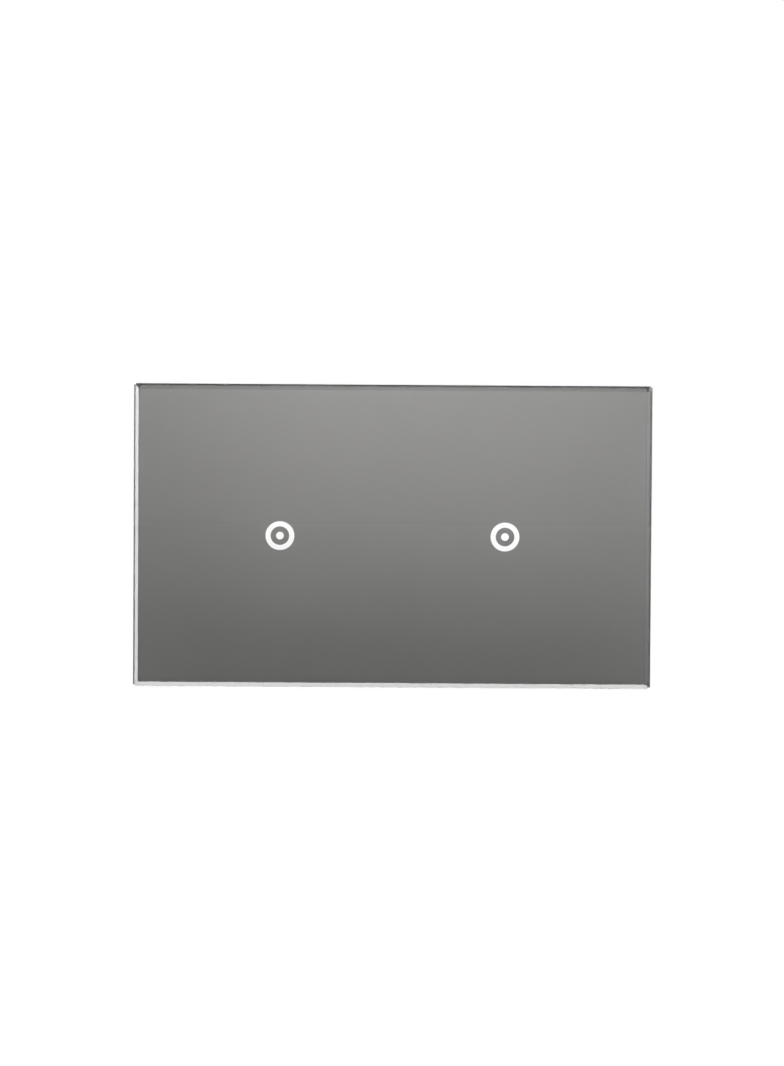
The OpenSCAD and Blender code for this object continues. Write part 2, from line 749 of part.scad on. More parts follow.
module module_screws() {
    color("Silver") at_posts() difference() {
        countersunk(module_screw_d, module_head_d, z_power_back - module_screw_bite, z_lid);
        driver_slot(module_head_d, z_lid);
    }
}

// Touch side

module board(w, h, z0, z1) {
    difference() {
        block(-w / 2, w / 2, -h / 2, h / 2, z0, z1);
        at_posts() rod(module_screw_d + 2 * screw_fit, z0 - past, z1 + past);
    }
}

module touch_board() {
    color("DarkGreen") board(touch_room_w - 2 * board_fit, touch_room_h - 2 * board_fit, z_touch_back, z_touch);
}

module touch_chip() {
    lead_w = 0.4;
    lead_t = 0.2;
    lead_l = 1;
    color([0.15, 0.15, 0.16]) translate([chip_at[0], chip_at[1], z_touch]) {
        block(-chip_l / 2, chip_l / 2, -chip_w / 2, chip_w / 2, lead_t / 2, chip_h);
        for (k = [-1.5 : 1.5], s = [-1, 1]) translate([k * chip_l / 4, s * chip_w / 2, 0])
            block(-lead_w / 2, lead_w / 2, -lead_l, lead_l, 0, lead_t);
    }
}

module indicator_led() {
    color("LightYellow") translate([0, 0, z_touch]) {
        block(-led_l / 2, led_l / 2, -led_w / 2, led_w / 2, 0, led_h / 2);
        block(-led_l / 3, led_l / 3, -led_w / 2, led_w / 2, led_h / 2 - eps, led_h);
    }
}

module light_guide() {
    color("White") difference() {
        rod(guide_d, z_touch, z_tape - guide_gap);
        rod(guide_d - 2 * guide_wall, z_touch - past, z_tape - guide_gap - guide_wall);
    }
}

module sensor_spring() {
    rings = len(SENSOR_PATH);
    points = [for (step = SENSOR_PATH, k = [0 : WIRE_SIDES - 1])
        let (out = out_dir(step[2]), side = cross(step[1], out), q = 360 * k / WIRE_SIDES)
        step[0] + sensor_wire / 2 * (cos(q) * out + sin(q) * side)];
    walls = [for (i = [0 : rings - 2], k = [0 : WIRE_SIDES - 1])
        let (a = i * WIRE_SIDES + k, b = i * WIRE_SIDES + (k + 1) % WIRE_SIDES)
        each [[a, a + WIRE_SIDES, b], [b, a + WIRE_SIDES, b + WIRE_SIDES]]];
    first = [for (k = [1 : WIRE_SIDES - 2]) [0, k, k + 1]];
    top = (rings - 1) * WIRE_SIDES;
    last = [for (k = [1 : WIRE_SIDES - 2]) [top, top + k + 1, top + k]];
    color("Gold") translate([0, 0, z_touch]) polyhedron(points, concat(walls, first, last));
}

// Power side

module power_board() {
    color("DarkGreen") board(room_w - 2 * board_fit, room_h - 2 * board_fit, z_power_back, z_power);
}

module header_pins() {
    spacer = board_gap - pin_pitch / 2;
    color("DimGray") translate([header_at[0], header_at[1], 0]) {
        block(-HEADER_PINS * pin_pitch / 2, HEADER_PINS * pin_pitch / 2, -pin_pitch / 2, pin_pitch / 2,
            z_power, z_power + spacer);
        for (k = [0 : HEADER_PINS - 1]) translate([(k - (HEADER_PINS - 1) / 2) * pin_pitch, 0, 0])
            block(-pin_w / 2, pin_w / 2, -pin_w / 2, pin_w / 2, z_power + eps, z_touch_back);
    }
}

module in_relay() {
    translate([relay_at[0], relay_at[1], 0]) behind_board() children();
}

module relay_base() {
    in_w = relay_w - 2 * relay_wall - 2 * relay_fit;
    in_l = relay_l - 2 * relay_wall - 2 * relay_fit;
    color([0.2, 0.2, 0.22]) in_relay() {
        block(-relay_w / 2, relay_w / 2, -relay_l / 2, relay_l / 2, 0, relay_base_t / 2);
        block(-in_w / 2, in_w / 2, -in_l / 2, in_l / 2, relay_base_t / 2 - eps, relay_base_t);
    }
}

module relay_cover() {
    in_w = relay_w - 2 * relay_wall;
    in_l = relay_l - 2 * relay_wall;
    color("RoyalBlue") in_relay() difference() {
        block(-relay_w / 2, relay_w / 2, -relay_l / 2, relay_l / 2, relay_base_t / 2, relay_h);
        block(-in_w / 2, in_w / 2, -in_l / 2, in_l / 2, 0, relay_h - relay_wall);
    }
}

module relay_coil() {
    color("Peru") in_relay() translate([0, v_coil, 0]) {
        rod(coil_flange_d, h_foot, h_winding);
        rod(coil_d, h_winding - eps, h_winding_end + eps);
        rod(coil_flange_d, h_winding_end, h_coil_end);
        rod(core_d, h_coil_end - eps, h_pole);
    }
}

module relay_yoke() {
    foot_end = v_coil + coil_flange_d / 2;
    color("Silver") in_relay() difference() {
        union() {
            block(-armature_w / 2, armature_w / 2, v_hinge - yoke_t / 2, foot_end, relay_base_t, h_foot);
            block(-armature_w / 2, armature_w / 2, v_hinge - yoke_t / 2, v_hinge + yoke_t / 2, relay_base_t, h_yoke_end);
        }
        translate([0, v_hinge, h_hinge]) rotate([0, 90, 0])
            cylinder(d = knuckle_d + 2 * touch_gap, h = armature_w + 2 * past, center = true);
    }
}

module relay_armature() {
    color("SteelBlue") in_relay() {
        block(-armature_w / 2, armature_w / 2, v_hinge - knuckle_d / 2, v_armature_end, h_armature, h_armature_end);
        translate([0, v_hinge, h_hinge]) rotate([0, 90, 0]) cylinder(d = knuckle_d, h = armature_w, center = true);
        block(-contact_leaf_w / 2, contact_leaf_w / 2, v_coil, v_contact + contact_d / 2, h_armature_end - eps, h_leaf_end);
        translate([0, v_contact, 0]) rod(contact_d, h_rivet, h_rivet_end);
    }
}

module relay_contacts() {
    color("Goldenrod") in_relay() {
        contact_post(-1, h_open - contact_arm_t, h_open);
        contact_post(1, h_closed, h_closed + contact_arm_t);
    }
}

module contact_post(side, h0, h1) {
    v0 = v_contact - contact_post_w / 2;
    v1 = v_contact + contact_post_w / 2;
    u_post = side * contact_post_u;
    block(u_post - contact_post_w / 2, u_post + contact_post_w / 2, v0, v1, relay_base_t, h1);
    block(min(u_post, 0), max(u_post, 0), v0, v1, h0, h1);
    translate([0, v_contact, 0]) rod(contact_d, h0, h1);
}

module transformer() {
    foot_t = 1.5;
    core_w = 4.6;
    side = 2;
    margin = 0.6;
    color("DarkKhaki") translate([transformer_at[0], transformer_at[1], 0]) behind_board() {
        block(-transformer_w / 2, transformer_w / 2, -transformer_w / 2, transformer_w / 2, 0, foot_t);
        block(-transformer_w / 2, transformer_w / 2, -core_w / 2, core_w / 2, foot_t - eps, transformer_h);
        block(-transformer_w / 2 + side, transformer_w / 2 - side, -transformer_w / 2 + margin, transformer_w / 2 - margin,
            foot_t + side, transformer_h - side);
        block(-transformer_w / 2 + side, transformer_w / 2 - side, -core_w, core_w, foot_t - eps, foot_t + side + eps);
    }
}

module capacitor() {
    r = capacitor_d / 2;
    groove = 0.4;
    groove_h = 1.8;
    color("DarkSlateGray") translate([capacitor_at[0], capacitor_at[1], 0]) behind_board() rotate_extrude()
        polygon([[0, 0], [r - groove, 0], [r, groove], [r, groove_h - groove], [r - groove, groove_h], [r, groove_h + groove],
            [r, capacitor_h - groove], [r - groove, capacitor_h], [0, capacitor_h]]);
}

module film_capacitor() {
    film_foot = 0.4;
    color("FireBrick") translate([film_at[0], film_at[1], 0]) behind_board() difference() {
        block(-film_l / 2, film_l / 2, -film_w / 2, film_w / 2, 0, film_h);
        block(-film_l / 2 + past, film_l / 2 - past, -film_w, film_w, -past, film_foot);
    }
}

// Terminals

module terminal_pods() {
    color("WhiteSmoke") at_terminals() behind_board() difference() {
        block(-pod_w / 2, pod_w / 2, y_pod, y_pod_end, 0, h_pod);
        block(-chamber_w / 2, chamber_w / 2, y_chamber, y_chamber_end, -past, h_pod_in);
        translate([0, y_pod - past, h_wire + wire_space / 2]) rotate([-90, 0, 0])
            cylinder(d = wire_d, h = entry_l + 2 * past);
        translate([0, y_screw, 0]) rod(driver_hole_d, h_pod_in - eps, h_pod + past);
    }
}

module terminal_bars() {
    color("Goldenrod") at_terminals() behind_board() {
        block(-bar_w / 2, bar_w / 2, y_clamp, y_leg + bar_t, h_bar, h_bar_back);
        block(-bar_w / 2, bar_w / 2, y_leg, y_leg + bar_t, 0, h_bar_back);
    }
}

module terminal_screw() {
    color("Silver") behind_board() translate([0, y_screw, 0]) difference() {
        union() {
            rod(terminal_screw_d, h_bar_back + touch_gap, h_head + eps);
            rod(terminal_head_d, h_head, h_head_end);
        }
        driver_slot(terminal_head_d, h_head_end);
    }
}

module terminal_clamp() {
    color("Goldenrod") behind_board() translate([0, y_screw, 0]) difference() {
        block(-clamp_w / 2, clamp_w / 2, -clamp_l / 2, clamp_l / 2, h_clamp, h_clamp_end);
        block(-clamp_in_w / 2, clamp_in_w / 2, -clamp_l, clamp_l, h_wire, h_clamp_rear);
        rod(terminal_screw_d + 2 * thread_fit, h_clamp_rear - eps, h_clamp_end + past);
    }
}

// Placing

module in_wall() {
    rotate([90, 0, 0]) children();
}

module in_gang(gang) {
    in_wall() translate([gang_x(gang), 0, 0]) children();
}

in_wall() glass_panel();
in_wall() colour_layer();
in_wall() touch_marks();
in_wall() bonding_tape();
in_wall() panel_frame();
in_wall() base_frame();
in_wall() mounting_plate();
in_wall() edge_springs();
in_wall() frame_screws();
in_wall() box_screws();
for (gang = GANGS) {
    in_gang(gang) module_housing();
    in_gang(gang) module_cover();
    in_gang(gang) touch_board();
    in_gang(gang) touch_chip();
    in_gang(gang) indicator_led();
    in_gang(gang) light_guide();
    in_gang(gang) sensor_spring();
    in_gang(gang) power_board();
    in_gang(gang) header_pins();
    in_gang(gang) relay_base();
    in_gang(gang) relay_cover();
    in_gang(gang) relay_coil();
    in_gang(gang) relay_yoke();
    in_gang(gang) relay_armature();
    in_gang(gang) relay_contacts();
    in_gang(gang) transformer();
    in_gang(gang) capacitor();
    in_gang(gang) film_capacitor();
    in_gang(gang) terminal_pods();
    in_gang(gang) terminal_bars();
    in_gang(gang) module_screws();
    for (t = TERMINALS) {
        in_gang(gang) translate([terminal_x(t), 0, 0]) terminal_screw();
        in_gang(gang) translate([terminal_x(t), 0, 0]) terminal_clamp();
    }
}
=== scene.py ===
"""Looks of a two gang touch light switch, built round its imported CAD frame.

Sizes are in millimetres in the wall's own axes: x to the right, y up the wall and z out of the wall. The
frame's axes are x, -z and y, so the glass faces -Y and the wall plane is Y = 0.
"""

from __future__ import annotations

import json
import logging
import math
from collections.abc import Callable, Iterable, Iterator, Mapping, Sequence
from contextlib import contextmanager
from dataclasses import dataclass
from enum import Enum

import bmesh
import bpy
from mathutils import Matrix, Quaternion, Vector

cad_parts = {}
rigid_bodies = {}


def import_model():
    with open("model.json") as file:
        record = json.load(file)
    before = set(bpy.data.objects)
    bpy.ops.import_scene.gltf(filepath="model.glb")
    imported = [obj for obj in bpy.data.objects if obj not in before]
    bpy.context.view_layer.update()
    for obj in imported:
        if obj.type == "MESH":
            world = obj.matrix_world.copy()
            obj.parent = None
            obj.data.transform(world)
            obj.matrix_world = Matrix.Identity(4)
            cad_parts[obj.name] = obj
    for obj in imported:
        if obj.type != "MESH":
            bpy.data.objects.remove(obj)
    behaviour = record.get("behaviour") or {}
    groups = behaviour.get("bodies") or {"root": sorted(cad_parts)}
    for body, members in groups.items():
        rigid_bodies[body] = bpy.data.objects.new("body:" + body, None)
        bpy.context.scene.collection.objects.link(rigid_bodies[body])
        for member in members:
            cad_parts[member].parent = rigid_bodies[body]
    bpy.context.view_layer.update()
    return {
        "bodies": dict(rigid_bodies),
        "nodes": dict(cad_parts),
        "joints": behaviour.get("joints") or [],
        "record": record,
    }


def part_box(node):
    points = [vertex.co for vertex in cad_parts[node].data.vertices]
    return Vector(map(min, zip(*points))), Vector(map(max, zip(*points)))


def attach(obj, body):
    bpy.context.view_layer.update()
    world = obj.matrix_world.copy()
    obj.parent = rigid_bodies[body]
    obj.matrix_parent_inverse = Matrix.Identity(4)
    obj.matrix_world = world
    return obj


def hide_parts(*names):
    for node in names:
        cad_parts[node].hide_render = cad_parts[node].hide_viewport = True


LOG = logging.getLogger("touch_switch")
MM = 0.001

# Points this near are one point, and faces this near to level are one face
WELD = 0.002 * MM
LEVEL = math.radians(0.2)

# How far a cutter reaches past what it cuts, how far it bites beyond a wall, and how near counts as there
PAST = 1
BITE = 0.2
NEAR = 0.01

# The share of an edge's direction that counts as along an axis, and of a half width that a round end takes
ALONG = 0.9
ROUND_END = 0.999

# The values that most of a noise lies between
NOISE_ENDS = (0.3, 0.7)

SIDES = (-1, 1)
WHITE = (1, 1, 1, 1)

Pair = tuple[float, float]
Colour = tuple[float, float, float]
PerAxis = tuple[float, float, float]
Stops = Sequence[tuple[float, Colour]]
Piece = bpy.types.Object
Node = bpy.types.Node
Socket = bpy.types.NodeSocket
Values = Mapping[str, object]
EdgeTest = Callable[[Vector, Vector], bool]


class Gang(Enum):
    """The two touch modules, with the side of the middle that each is on."""

    LEFT = -1
    RIGHT = 1

    @property
    def tag(self) -> str:
        """The module's name as it stands in the CAD nodes."""
        return self.name.lower()


class Slot(Enum):
    """The record's material slots."""

    GLASS = "clear_glass"
    ENAMEL = "grey_enamel"
    MARK = "white_mark"
    TAPE = "black_tape"
    TRAY = "black_frame"
    BASE = "white_base"
    PLATE = "zinc_plate"
    LEAF = "spring_steel"
    SCREW = "zinc_screw"
    HOUSING = "white_housing"
    BOARD = "green_board"
    CHIP = "chip_black"
    LED = "led_clear"
    DIFFUSER = "diffuser_white"
    GILT = "gilt_spring"
    RELAY = "relay_blue"
    WINDING = "copper_winding"
    IRON = "soft_iron"
    BRASS = "contact_brass"
    CORE = "yellow_tape"
    SLEEVE = "capacitor_sleeve"
    FILM = "film_red"
    TERMINAL = "grey_terminal"


class Operation(Enum):
    """The ways in which a piece is combined with another."""

    FUSE = "UNION"
    CUT = "DIFFERENCE"
    SHARE = "INTERSECT"


# Places, sizes and selections


def wall_point(x: float, y: float, z: float) -> Vector:
    """Turns a place in the wall's axes, in millimetres, into the frame's metres."""
    return Vector((x, -z, y)) * MM


def wall_place(point: Vector) -> Vector:
    """Turns a place in the frame's metres into the wall's axes, in millimetres."""
    return Vector((point.x, point.z, -point.y)) / MM


def grown(size: Pair, by: float) -> Pair:
    """Makes a width and height larger by a margin on every side."""
    return size[0] + 2 * by, size[1] + 2 * by


def spaced(middle: float, count: int, pitch: float) -> list[float]:
    """Gives the places of a row about its middle."""
    return [middle + (k - (count - 1) / 2) * pitch for k in range(count)]


def upright(mid: Vector, way: Vector) -> bool:
    """Says whether an edge points out of the wall."""
    return abs(way.z) > ALONG


def take(piece: Piece) -> None:
    """Makes a piece the one selected and active object.

    Args:
        piece: The object to take.
    """
    bpy.ops.object.select_all(action="DESELECT")
    piece.select_set(True)
    bpy.context.view_layer.objects.active = piece


@contextmanager
def editing(piece: Piece) -> Iterator[None]:
    """Opens a piece's mesh in edit mode, all of it selected, and closes it at the end.

    Args:
        piece: The piece to edit.

    Returns:
        A context for the edits.
    """
    take(piece)
    bpy.ops.object.mode_set(mode="EDIT")
    bpy.ops.mesh.select_all(action="SELECT")
    yield
    bpy.ops.object.mode_set(mode="OBJECT")


def modify(piece: Piece, kind: str, **settings: object) -> None:
    """Adds a modifier to a piece and applies it.

    Args:
        piece: The piece to change.
        kind: The modifier's type.
        settings: The modifier's attributes.
    """
    take(piece)
    step = piece.modifiers.new(kind, kind)
    for key, value in settings.items():
        setattr(step, key, value)
    bpy.ops.object.modifier_apply(modifier=step.name)


def settle(piece: Piece) -> Piece:
    """Puts a piece's place, turn and scale into its mesh.

    Args:
        piece: The object to settle at the origin.

    Returns:
        The same object.
    """
    take(piece)
    bpy.ops.object.transform_apply(location=True, rotation=True, scale=True)
    return piece


def name_new(name: str) -> Piece:
    """Names the primitive that was just added and settles it.

    Args:
        name: The piece's name.

    Returns:
        The new object.
    """
    piece = bpy.context.view_layer.objects.active
    piece.name = name
    piece.data.name = name
    return settle(piece)


# Modelling


def block(name: str, x: Pair, y: Pair, z: Pair) -> Piece:
    """Adds a box between pairs of places on the wall's axes.

    Args:
        name: The piece's name.
        x: Its left and right ends.
        y: Its lower and upper ends.
        z: Its back and front ends.

    Returns:
        The new object.
    """
    one, other = wall_point(x[0], y[0], z[0]), wall_point(x[1], y[1], z[1])
    size = [abs(a - b) for a, b in zip(one, other)]
    bpy.ops.object.select_all(action="DESELECT")
    bpy.ops.mesh.primitive_cube_add(size=1, location=(one + other) / 2, scale=size)
    return name_new(name)


def slab(name: str, size: Pair, z: Pair, at: Pair = (0, 0)) -> Piece:
    """Adds a box about a place on the wall.

    Args:
        name: The piece's name.
        size: Its width and height.
        z: Its back and front ends.
        at: The place of its middle.

    Returns:
        The new object.
    """
    half_w, half_h = size[0] / 2, size[1] / 2
    return block(name, (at[0] - half_w, at[0] + half_w), (at[1] - half_h, at[1] + half_h), z)


def rod(name: str, at: Pair, radius: float, z: Pair, sides: int = 48) -> Piece:
    """Adds a round bar that points out of the wall.

    Args:
        name: The piece's name.
        at: The place of its axis on the wall.
        radius: Its radius.
        z: Its back and front ends.
        sides: The number of its sides.

    Returns:
        The new object.
    """
    bpy.ops.object.select_all(action="DESELECT")
    bpy.ops.mesh.primitive_cylinder_add(
        vertices=sides, radius=radius * MM, depth=(z[1] - z[0]) * MM,
        location=wall_point(at[0], at[1], (z[0] + z[1]) / 2), rotation=(math.pi / 2, 0, 0))
    return name_new(name)


def slot_bar(name: str, at: Pair, size: Pair, z: Pair) -> Piece:
    """Adds a bar with two round ends, as the cutter for a slot along x.

    Args:
        name: The piece's name.
        at: The place of its middle on the wall.
        size: Its length over the round ends, and its width.
        z: Its back and front ends.

    Returns:
        The new object.
    """
    bar = slab(name, size, z, at)
    round_edges(bar, upright, size[1] / 2 * ROUND_END, segments=12)
    return bar


def mend(piece: Piece) -> Piece:
    """Merges a piece's doubled points and turns its faces outwards.

    Args:
        piece: The piece to mend.

    Returns:
        The same piece.
    """
    with editing(piece):
        bpy.ops.mesh.remove_doubles(threshold=WELD)
        bpy.ops.mesh.normals_make_consistent(inside=False)
    return piece


def lathe(name: str, at: Pair, profile: Sequence[Pair], sides: int = 48) -> Piece:
    """Spins a profile about an axis that points out of the wall.

    Args:
        name: The piece's name.
        at: The place of the axis on the wall.
        profile: Pairs of radius and z, from one pole to the other.
        sides: The number of steps of the spin.

    Returns:
        The new object.
    """
    points = [wall_point(at[0] + radius, at[1], z) for radius, z in profile]
    bpy.ops.object.select_all(action="DESELECT")
    bpy.ops.mesh.primitive_plane_add(size=MM, location=points[0])
    piece = name_new(name)
    with editing(piece):
        bpy.ops.mesh.select_mode(type="VERT")
        bpy.ops.mesh.merge(type="CENTER")
        for one, other in zip(points, points[1:]):
            bpy.ops.mesh.extrude_vertices_move(TRANSFORM_OT_translate={"value": other - one})
        bpy.ops.mesh.select_all(action="SELECT")
        bpy.ops.mesh.spin(steps=sides, angle=2 * math.pi, center=wall_point(*at, 0), axis=(0, 1, 0))
    return mend(piece)


def countersinks(places: Iterable[Pair], hole: Pair, z: Pair) -> list[Piece]:
    """Makes the cutters for countersunk holes.

    Args:
        places: The holes' places on the wall.
        hole: Their diameter, and their diameter at the face.
        z: Where they start, and the face that the screws' heads lie level with.

    Returns:
        The cutters.
    """
    shaft, head = hole[0] / 2, hole[1] / 2
    start, face = z
    past = face + PAST
    cone = [(0, start), (shaft, start), (shaft, face - head + shaft), (head, face), (head, past), (0, past)]
    return [lathe("countersink", place, cone, sides=40) for place in places]


def round_edges(piece: Piece, wanted: EdgeTest, width: float, segments: int = 1) -> None:
    """Bevels the edges of a piece that a test picks.

    Args:
        piece: The piece to shape.
        wanted: Says of an edge's middle and direction, in the wall's axes, whether it is bevelled.
        width: How far the bevel reaches along each face.
        segments: The number of faces across the bevel.
    """
    with editing(piece):
        bpy.ops.mesh.select_mode(type="EDGE")
        bpy.ops.mesh.select_all(action="DESELECT")
        for edge in bmesh.from_edit_mesh(piece.data).edges:
            one, other = (wall_place(v.co) for v in edge.verts)
            if wanted((one + other) / 2, (other - one).normalized()):
                edge.select_set(True)
        bmesh.update_edit_mesh(piece.data)
        bpy.ops.mesh.bevel(offset=width * MM, segments=segments, affect="EDGES", clamp_overlap=True)


def combine(piece: Piece, others: Iterable[Piece], operation: Operation) -> None:
    """Joins pieces to a piece, cuts them out of it or keeps what they share, and removes them.

    Args:
        piece: The piece that stays.
        others: The pieces that are used up.
        operation: How they are combined.
    """
    for other in others:
        modify(piece, "BOOLEAN", operation=operation.value, object=other, solver="EXACT")
        bpy.data.objects.remove(other)


def cut(piece: Piece, cutters: Iterable[Piece]) -> None:
    """Cuts pieces out of a piece and removes them."""
    combine(piece, cutters, Operation.CUT)


def fuse(piece: Piece, others: Iterable[Piece]) -> None:
    """Joins pieces to a piece and removes them."""
    combine(piece, others, Operation.FUSE)


def ease(piece: Piece, width: float, segments: int = 2, angle: float = 35) -> None:
    """Rounds every sharp edge of a piece a little.

    Args:
        piece: The piece to shape.
        width: The width of the rounding.
        segments: The number of faces across it.
        angle: The angle, in degrees, from which an edge counts as sharp.
    """
    with editing(piece):
        bpy.ops.mesh.remove_doubles(threshold=WELD)
        bpy.ops.mesh.dissolve_limited(angle_limit=LEVEL)
    sharp = math.radians(angle)
    modify(piece, "BEVEL", width=width * MM, segments=segments, limit_method="ANGLE", angle_limit=sharp)


def smooth(piece: Piece, angle: float = 40) -> Piece:
    """Shades a piece smooth across edges flatter than an angle, with wide faces kept flat.

    Args:
        piece: The piece to shade.
        angle: The angle in degrees.

    Returns:
        The same piece.
    """
    take(piece)
    bpy.ops.object.shade_smooth_by_angle(angle=math.radians(angle))
    modify(piece, "WEIGHTED_NORMAL", keep_sharp=True)
    return piece


def soften(piece: Piece, width: float, segments: int = 2) -> Piece:
    """Rounds a piece's sharp edges and shades it smooth."""
    ease(piece, width, segments)
    return smooth(piece)


def copy_to(piece: Piece, name: str, x: float = 0, y: float = 0) -> Piece:
    """Copies a piece, with a mesh of its own, to another place on the wall.

    Args:
        piece: The piece to copy.
        name: The copy's name.
        x: How far the copy lies to the right.
        y: How far the copy lies up the wall.

    Returns:
        The copy.
    """
    twin = piece.copy()
    twin.data = piece.data.copy()
    twin.name = name
    twin.data.name = name
    bpy.context.collection.objects.link(twin)
    twin.location = wall_point(x, y, 0)
    return settle(twin)


def eased_copy(node: Piece, width: float) -> Piece:
    """Makes a piece from a CAD node's shape, with its edges rounded."""
    return soften(copy_to(node, f"{node.name}_eased"), width)


# Finishes


class Graph:
    """A node tree, with short calls that add nodes to it and link them."""

    def __init__(self, tree: bpy.types.NodeTree) -> None:
        """Starts with an empty tree."""
        self.tree = tree
        tree.nodes.clear()

    def node(self, kind: str, values: Values | None = None, **settings: object) -> Node:
        """Adds a node.

        Args:
            kind: The node's type.
            values: The constants on its sockets.
            settings: Its attributes.

        Returns:
            The node.
        """
        made = self.tree.nodes.new(kind)
        for key, value in settings.items():
            setattr(made, key, value)
        for key, value in (values or {}).items():
            made.inputs[key].default_value = value
        return made

    def link(self, source: Socket, target: Socket) -> None:
        """Links two sockets."""
        self.tree.links.new(source, target)

    def maths(self, operation: str, one: Socket, other: Socket) -> Socket:
        """Works out a value from two others.

        Args:
            operation: What is done with them.
            one: The first value.
            other: The second value.

        Returns:
            The value socket.
        """
        step = self.node("ShaderNodeMath", operation=operation)
        self.link(one, step.inputs[0])
        self.link(other, step.inputs[1])
        return step.outputs["Value"]

    def remap(self, value: Socket, source: Pair, target: Pair, **settings: object) -> Socket:
        """Maps a value from one range to another.

        Args:
            value: The value socket.
            source: The ends of its range.
            target: The ends of the new range.
            settings: The node's attributes.

        Returns:
            The value socket.
        """
        names = ("From Min", "From Max", "To Min", "To Max")
        step = self.node("ShaderNodeMapRange", dict(zip(names, (*source, *target))), **settings)
        self.link(value, step.inputs["Value"])
        return step.outputs["Result"]

    def mix(self, share: Socket, one: Socket, other: Socket) -> Socket:
        """Mixes two shaders.

        Args:
            share: The share of the second one.
            one: The first shader.
            other: The second shader.

        Returns:
            The shader socket.
        """
        made = self.node("ShaderNodeMixShader")
        for number, source in enumerate((share, one, other)):
            self.link(source, made.inputs[number])
        return made.outputs["Shader"]

    def seen(self) -> Socket:
        """Gives 1 for rays that show the surroundings, and 0 for those that light the object.

        Returns:
            The value socket.
        """
        path = self.node("ShaderNodeLightPath").outputs
        shown = self.maths("MAXIMUM", path["Is Camera Ray"], path["Is Glossy Ray"])
        return self.maths("MAXIMUM", shown, path["Is Transmission Ray"])


class Shades(Graph):
    """The node graph of one material, with short calls for what the finishes share."""

    def __init__(self, name: str) -> None:
        """Starts a material with one Principled shader.

        Args:
            name: The material's name.
        """
        self.material = bpy.data.materials.new(name)
        self.material.use_nodes = True
        super().__init__(self.material.node_tree)
        self.output = self.node("ShaderNodeOutputMaterial")
        self.shader = self.node("ShaderNodeBsdfPrincipled")
        self.show(self.shader.outputs["BSDF"])

    def show(self, shader: Socket) -> None:
        """Makes a shader the one that the material shows."""
        self.link(shader, self.output.inputs["Surface"])

    def set(self, **values: object) -> None:
        """Sets constants on the shader's own sockets, with spaces in a socket's name written as _."""
        for key, value in values.items():
            self.shader.inputs[key.replace("_", " ")].default_value = value

    def pattern(self, kind: str, values: Values, stretch: PerAxis = (1, 1, 1), **settings: object) -> Node:
        """Adds a texture on the piece's own coordinates.

        Args:
            kind: The texture's node type.
            values: The constants on its sockets.
            stretch: The scale along each axis.
            settings: Its attributes.

        Returns:
            The texture node.
        """
        place = self.node("ShaderNodeMapping", {"Scale": stretch})
        self.link(self.node("ShaderNodeTexCoord").outputs["Object"], place.inputs["Vector"])
        made = self.node(kind, values, **settings)
        self.link(place.outputs["Vector"], made.inputs["Vector"])
        return made

    def noise(self, scale: float, detail: float = 4, stretch: PerAxis = (1, 1, 1)) -> Socket:
        """Gives a cloudy pattern, with so many clouds in a metre and so many finer layers."""
        return self.pattern("ShaderNodeTexNoise", {"Scale": scale, "Detail": detail}, stretch).outputs["Fac"]

    def cells(self, scale: float, **settings: object) -> Node:
        """Gives a pattern of cells, so many in a metre."""
        return self.pattern("ShaderNodeTexVoronoi", {"Scale": scale}, **settings)

    def blend(self, value: Socket, stops: Stops) -> Socket:
        """Turns a value into a colour between stops.

        Args:
            value: The value socket.
            stops: Pairs of a value and the colour there.

        Returns:
            The colour socket.
        """
        ramp = self.node("ShaderNodeValToRGB")
        for element, (position, colour) in zip(ramp.color_ramp.elements, stops):
            element.position = position
            element.color = (*colour, 1)
        self.link(value, ramp.inputs["Fac"])
        return ramp.outputs["Color"]

    def paint(self, tone: Socket, stops: Stops, sheen: Socket, rough: Pair) -> None:
        """Links a colour and a roughness that vary to the shader.

        Args:
            tone: The value that picks the colour.
            stops: Pairs of a value and the colour there.
            sheen: The noise that picks the roughness.
            rough: The least and the greatest roughness.
        """
        self.link(self.blend(tone, stops), self.shader.inputs["Base Color"])
        self.link(self.remap(sheen, NOISE_ENDS, rough), self.shader.inputs["Roughness"])

    def bump(self, height: Socket, strength: float, depth: float) -> None:
        """Roughens the surface.

        Args:
            height: The value socket that says how high the surface is.
            strength: The share of the roughness that shows.
            depth: The height of the roughness in millimetres.
        """
        relief = self.node("ShaderNodeBump", {"Strength": strength, "Distance": depth * MM})
        self.link(height, relief.inputs["Height"])
        self.link(relief.outputs["Normal"], self.shader.inputs["Normal"])


def toned(colour: Colour, factor: float) -> Colour:
    """Makes a colour darker or lighter."""
    return tuple(min(1.0, part * factor) for part in colour)


@dataclass(frozen=True)
class Finish:
    """A surface with a colour that varies a little and a roughness that varies with it."""

    colour: Colour
    roughness: float
    clouds: float = 150
    variation: float = 0.05

    def material(self, slot: Slot) -> bpy.types.Material:
        """Makes the finish's material.

        Args:
            slot: The record's slot that the material is for.

        Returns:
            The material.
        """
        shades = Shades(slot.value)
        self.tint(shades)
        self.detail(shades)
        return shades.material

    def stops(self, ends: Pair) -> Stops:
        """Gives the darkest and the palest tone, at the two ends of a value."""
        return [(end, toned(self.colour, 1 + side * self.variation)) for end, side in zip(ends, SIDES)]

    def rough(self, share: float) -> Pair:
        """Gives the least and the greatest roughness, a share to either side."""
        return self.roughness * (1 - share), self.roughness * (1 + share)

    def tint(self, shades: Shades) -> None:
        """Links the varied colour and roughness to the shader."""
        clouds = shades.noise(self.clouds)
        shades.paint(clouds, self.stops(NOISE_ENDS), clouds, self.rough(share=0.15))

    def detail(self, shades: Shades) -> None:
        """Adds what the finish has beyond its colour; the plain finish has nothing."""


